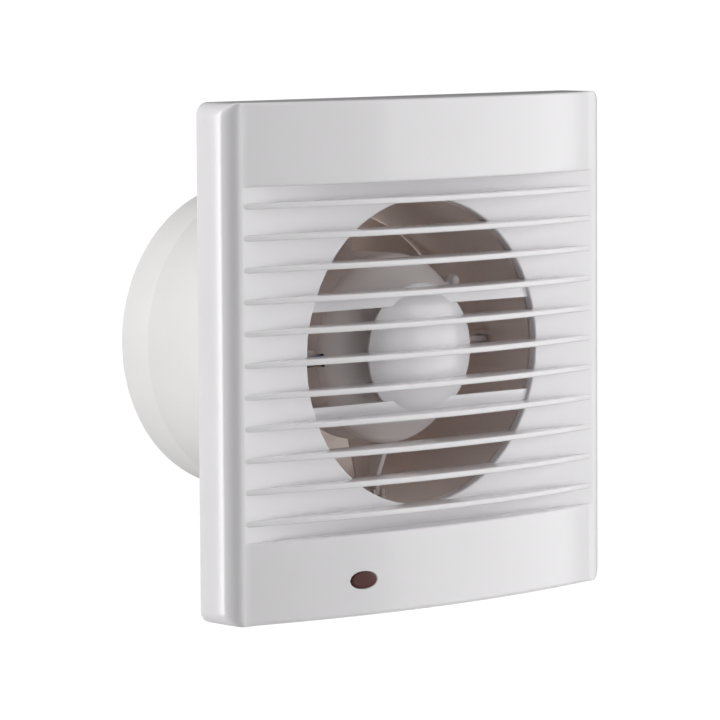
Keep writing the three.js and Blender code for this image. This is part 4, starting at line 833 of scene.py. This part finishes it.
def screw_tree():
    """Pan-head screws with a cross recess, one at each given point. Turn faces them along Y."""
    number = "NodeSocketFloat"
    tree, nodes, given, out = geometry_tree("pan_screws", [
        ("Points", "NodeSocketGeometry", None), ("Head Radius", number, 0.0023),
        ("Head Height", number, 0.0015),
        ("Shank Radius", number, 0.0012), ("Shank Length", number, 0.006), ("Turn", number, math.pi / 2),
        ("Material", "NodeSocketMaterial", None)])
    head_radius, height = given["Head Radius"], given["Head Height"]
    head = nodes.add("GeometryNodeMeshCylinder", {
        "Vertices": 40, "Side Segments": 6, "Fill Segments": 8, "Radius": head_radius, "Depth": height},
        fill_type="TRIANGLE_FAN")
    at = nodes.add("ShaderNodeSeparateXYZ", {0: nodes.add("GeometryNodeInputPosition").outputs[0]})
    high = nodes.plus(nodes.over(at.outputs["Z"], height), 0.5)
    shrink = nodes.minus(1.0, nodes.times(nodes.math("POWER", high, 3.0), 0.28))
    reach = nodes.over(nodes.plus(nodes.math("POWER", at.outputs["X"], 2.0),
                                            nodes.math("POWER", at.outputs["Y"], 2.0)),
                       nodes.times(head_radius, head_radius))
    fall = nodes.times(nodes.times(reach, high), nodes.times(height, 0.25))
    domed = nodes.add("GeometryNodeSetPosition", {"Geometry": head.outputs[0], "Position": vector(
        nodes, nodes.times(at.outputs["X"], shrink), nodes.times(at.outputs["Y"], shrink),
        nodes.minus(at.outputs["Z"], fall))})
    wide = nodes.times(head_radius, 1.25)
    thin = nodes.times(head_radius, 0.26)
    deep = nodes.times(height, 1.2)
    lift = nodes.times(height, 0.65)
    arms = []
    for size in (vector(nodes, wide, thin, deep), vector(nodes, thin, wide, deep)):
        arm = nodes.add("GeometryNodeMeshCube", {"Size": size})
        arms.append(nodes.add("GeometryNodeTransform", {
            "Geometry": arm.outputs[0], "Translation": vector(nodes, z=lift)}).outputs[0])
    recess = nodes.add("GeometryNodeMeshBoolean", operation="DIFFERENCE", solver="EXACT")
    nodes.feed(recess.inputs["Mesh 1"], domed.outputs[0])
    for arm in arms:
        nodes.tree.links.new(arm, recess.inputs["Mesh 2"])
    shank = nodes.add("GeometryNodeMeshCylinder", {
        "Vertices": 24, "Radius": given["Shank Radius"], "Depth": given["Shank Length"]})
    below = nodes.times(nodes.plus(height, given["Shank Length"]), -0.49)
    hung = nodes.add("GeometryNodeTransform", {"Geometry": shank.outputs[0],
                                               "Translation": vector(nodes, z=below)})
    joined = nodes.add("GeometryNodeJoinGeometry")
    nodes.tree.links.new(recess.outputs[0], joined.inputs[0])
    nodes.tree.links.new(hung.outputs[0], joined.inputs[0])
    raised = nodes.add("GeometryNodeTransform", {
        "Geometry": joined.outputs[0], "Translation": vector(nodes, z=nodes.times(height, 0.5))})
    copies = nodes.add("GeometryNodeInstanceOnPoints", {
        "Points": given["Points"], "Instance": raised.outputs[0], "Rotation": vector(nodes, given["Turn"])})
    return dressed(tree, nodes, copies, given["Material"], out)


# ---- Housing ------------------------------------------------------------------------------
def rounded_outline(half_x, half_z, radius, steps=8):
    points = []
    for quarter, (sx, sz) in enumerate(((1, 1), (-1, 1), (-1, -1), (1, -1))):
        for step in range(steps + 1):
            turn = math.pi / 2 * (quarter + step / steps)
            points.append((sx * (half_x - radius) + radius * math.cos(turn),
                           sz * (half_z - radius) + radius * math.sin(turn)))
    dense = []
    for index, (x, z) in enumerate(points):
        nx, nz = points[(index + 1) % len(points)]
        parts = max(1, round(math.hypot(nx - x, nz - z) / 5))
        dense += [(x + (nx - x) * k / parts, z + (nz - z) * k / parts) for k in range(parts)]
    return dense


def back_plate():
    shell = Shell()
    half_x, half_z = 74.3, 75.3
    base = rounded_outline(half_x, half_z, 3.0)

    def ring(inset, y):
        sx, sz = (half_x - inset) / half_x, (half_z - inset) / half_z
        return shell.row([(x * sx, y, z * sz) for x, z in base])

    def circle(radius, y):
        return shell.row([(radius * math.cos(math.atan2(z, x)), y,
                           radius * math.sin(math.atan2(z, x))) for x, z in base])

    hub = DUCT_OUTER - 1.0
    shell.strips([circle(hub, 0.0), ring(0.4, 0.0), ring(0.1, -0.12), ring(0.0, -0.4), ring(0.0, -5.7),
                  ring(0.25, -6.0),
                  ring(1.35, -6.0), ring(1.6, -5.7), ring(1.6, -2.9), ring(2.0, -2.5), circle(hub, -2.5)],
                 closed=True, looped=True)
    plate = shell.thing("back_plate")
    tools = Shell()
    for place in WALL_HOLES:
        tools.turned([(0, -4), (2.3, -4), (2.3, 1), (0, 1)], 32, place)
    tools.turned([(0, -4), (5.2, -4), (5.2, 1), (0, 1)], 48, CABLE_ENTRY)
    tools.box(BLOCK[0] - 1.6, BLOCK[0] + 1.6, -4, -0.8, BLOCK[1] - 1.6, BLOCK[1] + 1.6)
    return cut(plate, tools)


def plate_posts():
    """Sockets for the cover pegs, bosses round the wall screws and posts for the cable clamp."""
    shell = Shell()
    for place in PEGS:
        shell.turned([(0, -3.5), (2.9, -3.5), (2.9, -8.6), (3.3, -9), (4.3, -9), (4.6, -8.7), (4.65, -3.2),
                      (5.2, -2.4),
                      (0, -2.4)], 40, place)
    for place in WALL_HOLES:
        shell.turned([(2.3, -2.2), (2.3, -4.2), (2.6, -4.5), (4.6, -4.5), (5, -4.2), (5.1, -2.9),
                      (5.6, -2.4), (5.6, -2.2)],
                     40, place)
    for side in (-8, 8):
        shell.turned([(0, -1.6), (1.6, -1.6), (1.6, -6.6), (1.9, -6.9), (2.9, -6.9), (3.2, -6.6),
                      (3.25, -3), (3.8, -2.4),
                      (0, -1.4)], 32, (BLOCK[0] + side, CLAMP_Z))
    return shell.thing("plate_posts")


def duct_tube():
    shell = Shell()
    slim = DUCT_OUTER - 0.35
    step = DUCT_REAR - 14
    shell.turned([(47.3, DUCT_FRONT), (48.9, DUCT_FRONT), (49.2, DUCT_FRONT + 0.25),
                  (DUCT_OUTER, DUCT_FRONT + 0.6),
                  (DUCT_OUTER, 0.0), (DUCT_OUTER, step - 0.15), (49.15, step + 0.05), (slim, step + 0.4),
                  (slim, DUCT_REAR - 1.2),
                  (slim - 0.25, DUCT_REAR - 0.4), (slim - 0.8, DUCT_REAR), (47.35, DUCT_REAR),
                  (DUCT_INNER, DUCT_REAR - 0.35),
                  (DUCT_INNER, DUCT_FRONT + 0.3)], 160)
    tube = shell.thing("duct_tube")
    tool = Shell()
    ring = [(3.2 * math.cos(turn), 3.2 * math.sin(turn)) for turn in turns(32)]
    tool.prism(ring, lambda point, end: ((-52, -44)[end], -8 + point[0], LEAD_HOLE_Z + point[1]))
    return cut(tube, tool)


def turned_about(degrees, x, z):
    angle = math.radians(degrees)
    return x * math.cos(angle) - z * math.sin(angle), x * math.sin(angle) + z * math.cos(angle)


def radial_box(shell, degrees, x0, x1, y0, y1, z0, z1):
    outline = [(x0, z0), (x1, z0), (x1, z1), (x0, z1)]

    def place(point, end):
        x, z = turned_about(degrees, *point)
        return x, (y0, y1)[end], z

    shell.prism(outline, place)


def strut_rails():
    shell = Shell()
    for degrees in STRUT_ANGLES:
        for front, low, high in ((5.6, 1.2, 2.4), (5.6, -2.4, -1.2), (9.8, -1.4, 1.4)):
            radial_box(shell, degrees, *RAIL_REACH, front, RAIL_REAR, low, high)
    return eased(shell.thing("strut_rails"), 0.2)


def pod_cup():
    shell = Shell()
    shell.turned([(POD - 0.15, 1.0), (POD, 1.2), (POD, 15.6), (POD - 0.15, 16.6), (28.6, 18.2),
                  (27.4, 19.6), (24.6, 21.7), (24.0, 22.0),
                  (6.7, 22.0), (6.5, 21.8), (6.5, 20.2), (23.4, 20.2), (26.3, 18.0), (POD_INSIDE, 16.0),
                  (POD_INSIDE, 1.2), (POD_INSIDE + 0.15, 1.0)],
                 128)
    return shell.thing("pod_cup")


def pod_struts():
    shell = Shell()
    outline = [(28.8, 1.2), (40, 6), (46.5, 6.5), (46.5, 9.5), (28.8, 9.5)]
    for degrees in STRUT_ANGLES:
        def place(point, end, degrees=degrees):
            x, z = turned_about(degrees, point[0], (-0.9, 0.9)[end])
            return x, point[1], z
        shell.prism(outline, place)
    struts = eased(shell.thing("pod_struts"), 0.25)
    lugs = Shell()
    for degrees in LUG_ANGLES:
        lugs.turned([(1.1, 1.2), (1.25, 1.0), (1.85, 1.0), (2.0, 1.2), (2.0, 6.8), (1.85, 7.0), (1.25, 7.0),
                     (1.1, 6.8)], 32,
                    polar(LUG_CIRCLE, degrees))
        radial_box(lugs, degrees, 29.2, 30.5, 1.05, 6.95, -1.6, 1.6)
    return struts, lugs.thing("pod_lugs")


def boss_tip():
    """The rounded front end of a screw boss."""
    return [(1.7 * math.sin(math.pi / 2 * k / 8),
             -2.3 - 0.9 * math.cos(math.pi / 2 * k / 8)) for k in range(9)]


def pod_dome():
    steps = 22
    outer, inner = [], []
    for step in range(steps + 1):
        turn = math.pi / 2 * step / steps
        outer.append((POD * math.sin(turn) if step else 0, 0.7 - 10 * math.cos(turn)))
        inner.append((POD_INSIDE * math.sin(turn) if step else 0, 0.7 - 8.2 * math.cos(turn)))
    shell = Shell()
    shell.turned(outer + inner[::-1], 128)
    dome = shell.thing("motor_dome")
    tool = Shell()
    tool.box(-31, -24.5, -1.6, 1.5, -3.9, 0.1)
    dome = cut(dome, tool)
    ears = Shell()
    for degrees in LUG_ANGLES:
        place = polar(LUG_CIRCLE, degrees)
        ears.turned([(1.1, 0.7), (1.1, -2.1), (0, -2.1)] + boss_tip() + [
            (1.7, -1.5), (2.0, -1.2), (2.0, 0.5), (1.85, 0.7)], 40, place)
        radial_box(ears, degrees, 28.0, 30.4, -1.5, 0.7, -1.6, 1.6)
    return dome, eased(ears.thing("motor_dome_ears"), 0.18, angle=50)


def impeller_hub():
    shell = Shell()
    shell.turned([(22.8, 24.0), (23.0, 24.2), (23.0, 41.0), (22.7, 42.0), (22.0, 43.0), (20.8, 43.7),
                  (19.5, 44.0), (2.5, 44.0),
                  (2.15, 43.8), (2.15, 27.2), (2.4, 27.0), (4.7, 27.0), (5.0, 27.3), (5.0, 42.4),
                  (19.4, 42.4), (21.4, 40.4),
                  (21.4, 24.2), (21.6, 24.0)], 140)
    hub = shell.thing("impeller_hub")
    ribs = Shell()
    for k in range(BLADES):
        radial_box(ribs, k * 360 / BLADES + 20, 4.8, 21.6, 34.0, 42.6, -0.6, 0.6)
    return hub, eased(ribs.thing("impeller_ribs"), 0.15)


def shaft_rod():
    shell = Shell()
    shell.turned([(0, -5.2), (1.7, -5.2), (2.0, -4.9), (2.0, 46.2), (1.7, 46.5), (0, 46.5)], 40)
    return shell.thing("shaft_rod")


def lamp_lens():
    """A domed oval stud that follows the bow of the band, with a flange behind it."""
    shell = Shell()
    sides = 64
    cx, cz = LAMP
    rows = []
    for share, lift in ((0.25, 0.0), (0.5, 0.0), (0.75, 0.01), (0.88, 0.03), (0.95, 0.1), (0.99, 0.22),
                        (1.0, 0.4), (1.0, 1.0),
                        (1.0, 2.6)):
        row = []
        for turn in turns(sides):
            x, z = cx + LAMP_HALF[0] * share * math.cos(turn), cz + LAMP_HALF[1] * share * math.sin(turn)
            row.append(shell.point(x, FRONT - bow(x) - 0.3 + lift, z))
        rows.append(row)
    for grow, y in ((0.0, -19.2), (1.0, -19.2), (1.2, -19.0), (1.2, -18.2), (1.0, -18.0)):
        rows.append(shell.row([(cx + (LAMP_HALF[0] + grow) * math.cos(turn), y,
                                cz + (LAMP_HALF[1] + grow) * math.sin(turn)) for turn in turns(sides)]))
    shell.strips(rows, closed=True)
    front = shell.point(cx, FRONT - bow(cx) - 0.3, cz)
    back = shell.point(cx, -18.0, cz)
    for k in range(sides):
        shell.face(rows[0][k], rows[0][(k + 1) % sides], front)
        shell.face(rows[-1][k], rows[-1][(k + 1) % sides], back)
    return shell.thing("lamp_lens_ruby")


def grommet():
    shell = Shell()
    shell.turned([(3.4, -4.1), (4.2, -4.1), (6.3, -4.1), (6.6, -3.8), (6.6, -3.0), (6.4, -2.8), (4.9, -2.8),
                  (4.9, -0.5),
                  (4.7, -0.3), (3.6, -0.3), (3.4, -0.5), (3.2, -2.0), (3.4, -3.5)], 56, CABLE_ENTRY)
    return shell.thing("cable_grommet_ring")


# ---- Wires -----------------------------------------------------------------------------------
def smooth_route(points, per_span=8):
    route = []
    padded = [points[0], *points, points[-1]]
    for index in range(len(points) - 1):
        p0, p1, p2, p3 = (Vector(p) for p in padded[index:index + 4])
        for step in range(per_span):
            t = step / per_span
            route.append(0.5 * ((2 * p1) + (p2 - p0) * t + (2 * p0 - 5 * p1 + 4 * p2 - p3) * t ** 2
                                + (3 * p1 - p0 - 3 * p2 + p3) * t ** 3))
    return route + [Vector(points[-1])]


def wire(name, points, radius=0.7, sides=12):
    shell = Shell()
    route = smooth_route(points)
    heading = (route[1] - route[0]).normalized()
    up = heading.orthogonal().normalized()
    rows = []
    for index, place in enumerate(route):
        ahead = (route[min(index + 1, len(route) - 1)] - route[max(index - 1, 0)]).normalized()
        up = (up - ahead * up.dot(ahead)).normalized()
        across = ahead.cross(up)
        rows.append(shell.row([
            tuple(place + (up * math.cos(turn) + across * math.sin(turn)) * radius) for turn in turns(sides)]))
    shell.strips(rows, closed=True)
    shell.face(*rows[0])
    shell.face(*reversed(rows[-1]))
    return shell.thing(name)


def motor_lead_start(z):
    return [(-18, -1.5, z), (-23, -1.3, z), (-28.6, -0.6, z), (-33, -1.8, z), (-41, -5.8, z),
            (-48.125, -8, z)]


WIRES = {
    "motor_lead_neutral": motor_lead_start(LEAD_HOLE_Z + 0.9) + [
        (-52.4, -8.6, 2.5), (-53.4, -8.4, 12), (-54.6, -7.6, 22), (-55.6, -6.2, 28), (-55.6, -6.2, 31.2)],
    "motor_lead_live": motor_lead_start(LEAD_HOLE_Z - 0.9) + [
        (-54.6, -8.8, 0.5), (-56.4, -8.8, 12), (-59.6, -8.8, 22), (-64.6, -6.8, 27.4), (-64.6, -6.2, 31.2)],
    "lamp_lead_neutral": [
        (-57.4, -6.2, 31.2), (-57.4, -6.2, 28), (-56.8, -4.6, 21), (-55.4, -4, 6), (-55.2, -4, -22),
        (-51, -4, -43.98),
        (-40, -4.6, -55.98), (-32.2, -5.6, -60.98), (-32.2, -6, -63.78)],
    "lamp_lead_live": [
        (-66.4, -6.2, 31.2), (-66.4, -5.8, 27.6), (-62.6, -4.2, 24), (-58.4, -4, 17), (-57.6, -4, 4),
        (-57.4, -4, -22),
        (-54, -4, -45.98), (-44, -5, -61.98), (-36.3, -6, -67.08)],
}


# ---- Putting the pieces in place ---------------------------------------------------------------
for maker in (cover_shell, cover_pegs, cross_bars, centre_disc):
    piece(maker(), "front", COVER, "cover_plastic", "front_cover")
ribs = grown("cover_louvre_ribs", louvre_tree(), {"Count": RIB_COUNT, "Material": COVER})
piece(ribs, "front", COVER, "cover_plastic", "front_cover")
piece(lamp_lens(), "front", LENS, "lens_plastic", "lamp_lens")

for maker in (back_plate, plate_posts, duct_tube, strut_rails):
    piece(maker(), "housing", HOUSING, "housing_plastic", "duct_housing")
piece(pod_cup(), "housing", PODS, "pod_plastic", "motor_pod")
for thing in pod_struts():
    piece(thing, "housing", PODS, "pod_plastic", "motor_pod")
for thing in pod_dome():
    piece(thing, "housing", PODS, "pod_plastic", "motor_cover")
piece(grommet(), "housing", RUBBER, "grommet_rubber", "cable_grommet")

for thing in impeller_hub():
    piece(thing, "rotor", IMPELLER, "impeller_plastic", "impeller")
blades = grown("impeller_blades", blade_tree(), {"Count": BLADES, "Material": IMPELLER})
piece(blades, "rotor", IMPELLER, "impeller_plastic", "impeller")
piece(shaft_rod(), "rotor", STEEL, "shaft_steel", "shaft")

SCREWS = {
    "clamp_screws": (["clamp_screw_1", "clamp_screw_2"], 2.2, 1.4, 1.2, 7.0),
    "wire_screws": ([f"terminal_screw_{k}" for k in range(1, 5)], 1.8, 1.3, 1.0, 1.8),
    "block_screw": (["terminal_block_screw"], 1.7, 0.9, 1.0, 9.0),
}
screws = screw_tree()


def screw_row(name, places, replaced, head, height, shank, length, turn=math.pi / 2):
    """Screws of one size, at the given places, for the CAD nodes that they replace."""
    points = bpy.data.meshes.new(name)
    points.from_pydata(places, [], [])
    thing = grown(name, screws, {
        "Head Radius": head * MM, "Head Height": height * MM, "Shank Radius": shank * MM,
        "Shank Length": length * MM, "Turn": turn, "Material": ZINC}, points)
    piece(thing, "housing", ZINC, "zinc_steel", *replaced)


for name, (replaced, head, height, shank, length) in SCREWS.items():
    places = []
    for node in replaced:
        low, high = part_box(node)
        places.append(((low[0] + high[0]) / 2, low[1] + height * MM, (low[2] + high[2]) / 2))
    screw_row(name, places, replaced, head, height, shank, length)
rear_places = [(x * MM, DOME_SCREW_SEAT * MM, z * MM) for x, z in (polar(LUG_CIRCLE, k) for k in LUG_ANGLES)]
screw_row("dome_screws", rear_places, ["motor_cover_screw_1", "motor_cover_screw_2"], 1.6, 1.2, 0.8, 8.9,
          turn=-math.pi / 2)

for name, points in WIRES.items():
    colour, slot = (BLUE, "blue_insulation") if "neutral" in name else (BROWN, "brown_insulation")
    piece(wire(f"{name}_wire", points), "housing", colour, slot, name)


def softened(node, width):
    """A merged copy of a CAD solid with small rounded edges."""
    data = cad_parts[node].data.copy()
    data.name = f"{node}_fine"
    work = bmesh.new()
    work.from_mesh(data)
    bmesh.ops.remove_doubles(work, verts=work.verts, dist=1e-6)
    bmesh.ops.dissolve_limit(work, angle_limit=math.radians(1), verts=work.verts, edges=work.edges)
    work.to_mesh(data)
    work.free()
    return eased(made(f"{node}_fine", data), width, segments=1)


for node in ("terminal_block", "cable_clamp", "lamp_holder"):
    piece(softened(node, 0.2), "housing", NYLON, "terminal_plastic", node)

FINISHES = {
    "stator_core": STACK, "rotor_core": STACK, "coil_1": WINDING, "coil_2": WINDING, "coil_3": WINDING,
    "coil_4": WINDING,
    "front_bracket": CAST, "rear_bracket": CAST, "rotor_cage": CAST, "front_bearing": BRONZE,
    "rear_bearing": BRONZE,
    "motor_screw_1": ZINC, "motor_screw_2": ZINC, "impeller_clip": ZINC, "terminal_sleeve_1": BRASS,
    "terminal_sleeve_2": BRASS, "neon_lamp": NEON,
}
for node, material in FINISHES.items():
    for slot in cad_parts[node].material_slots:
        slot.material = material

# ---- Floor, light and camera -------------------------------------------------------------------
WHITE = (1.0, 1.0, 1.0, 1.0)
BACKDROP = 1.05         # just past white
AMBIENT = 0.03
FLOOR_REACH = 30.0      # metres, as are the heights and distances below
FLOOR_HEIGHT = -0.35
LIGHT_DISTANCE = 1.2
CAMERA_PLACE = (-0.900602, -1.017399, 0.120621)
CAMERA_TURN = (-41.1117, 5.2254, -0.331)
CAMERA_LENS = 220.2545


def plain_to_camera(nodes, kind, lighting):
    """Plain white where the camera looks straight at it, and the given shader for all else."""
    plain = nodes.add(kind, {"Color": WHITE, "Strength": BACKDROP})
    seen = nodes.add("ShaderNodeLightPath").outputs["Is Camera Ray"]
    mixed = nodes.add("ShaderNodeMixShader", {0: seen, 1: lighting.outputs[0], 2: plain.outputs[0]})
    return mixed.outputs[0]


white, nodes, shader, output = new_material("floor_white")
shader.inputs["Base Color"].default_value = (0.85, 0.85, 0.85, 1.0)
shader.inputs["Roughness"].default_value = 0.9
nodes.feed(output.inputs["Surface"], plain_to_camera(nodes, "ShaderNodeEmission", shader))
corners = [(x * FLOOR_REACH, y * FLOOR_REACH, FLOOR_HEIGHT) for x, y in ((-1, -1), (1, -1), (1, 1), (-1, 1))]
floor_data = bpy.data.meshes.new("floor")
floor_data.from_pydata(corners, [], [(0, 1, 2, 3)])
floor_data.materials.append(white)
made("floor", floor_data)

world = bpy.data.worlds.new("studio")
scene.world = world
world.use_nodes = True
world.node_tree.nodes.clear()
nodes = Nodes(world.node_tree)
around = nodes.add("ShaderNodeBackground", {"Color": WHITE, "Strength": AMBIENT})
nodes.add("ShaderNodeOutputWorld", {"Surface": plain_to_camera(nodes, "ShaderNodeBackground", around)})


def softbox(name, azimuth, elevation, width, height, watts):
    """An area light aimed at the fan. Azimuth 0 is straight in front, 90 to the right."""
    lamp = bpy.data.lights.new(name, "AREA")
    lamp.shape = "RECTANGLE"
    lamp.size, lamp.size_y = width, height
    lamp.energy = watts
    light = bpy.data.objects.new(name, lamp)
    scene.collection.objects.link(light)
    a, e = math.radians(azimuth), math.radians(elevation)
    away = Vector((math.sin(a) * math.cos(e), -math.cos(a) * math.cos(e), math.sin(e)))
    light.location = away * LIGHT_DISTANCE
    light.rotation_mode = "QUATERNION"
    light.rotation_quaternion = (-away).to_track_quat("-Z", "Y")


for light in (
        ("left_softbox", -122, 5, 0.5, 1.2, 9.6), ("high_left_softbox", -90, 50, 0.8, 0.8, 3.9),
        ("front_softbox", 20, 10, 0.6, 1.2, 3.0), ("right_softbox", 50, 10, 0.8, 1.2, 7.2),
        ("far_right_softbox", 82, 5, 0.8, 1.2, 1.8), ("top_softbox", -20, 80, 1.2, 1.2, 4.6)):
    softbox(*light)

camera_data = bpy.data.cameras.new("camera")
camera = bpy.data.objects.new("camera", camera_data)
scene.collection.objects.link(camera)
AZIMUTH, ELEVATION, ROLL = (math.radians(value) for value in CAMERA_TURN)
back = Vector((math.sin(AZIMUTH) * math.cos(ELEVATION), -math.cos(AZIMUTH) * math.cos(ELEVATION),
               math.sin(ELEVATION)))
right = (-back).cross(Vector((0, 0, 1))).normalized()
up = right.cross(-back)
level = right * math.cos(ROLL) + up * math.sin(ROLL)
upright = up * math.cos(ROLL) - right * math.sin(ROLL)
facing = Matrix((level, upright, back)).transposed().to_4x4()
camera.matrix_world = Matrix.Translation(CAMERA_PLACE) @ facing
camera_data.sensor_width = 36.0
camera_data.lens = CAMERA_LENS
camera_data.clip_start, camera_data.clip_end = 0.05, 80.0
scene.camera = camera
scene.view_settings.view_transform = "Standard"
scene.view_settings.look = "None"

bpy.context.view_layer.update()
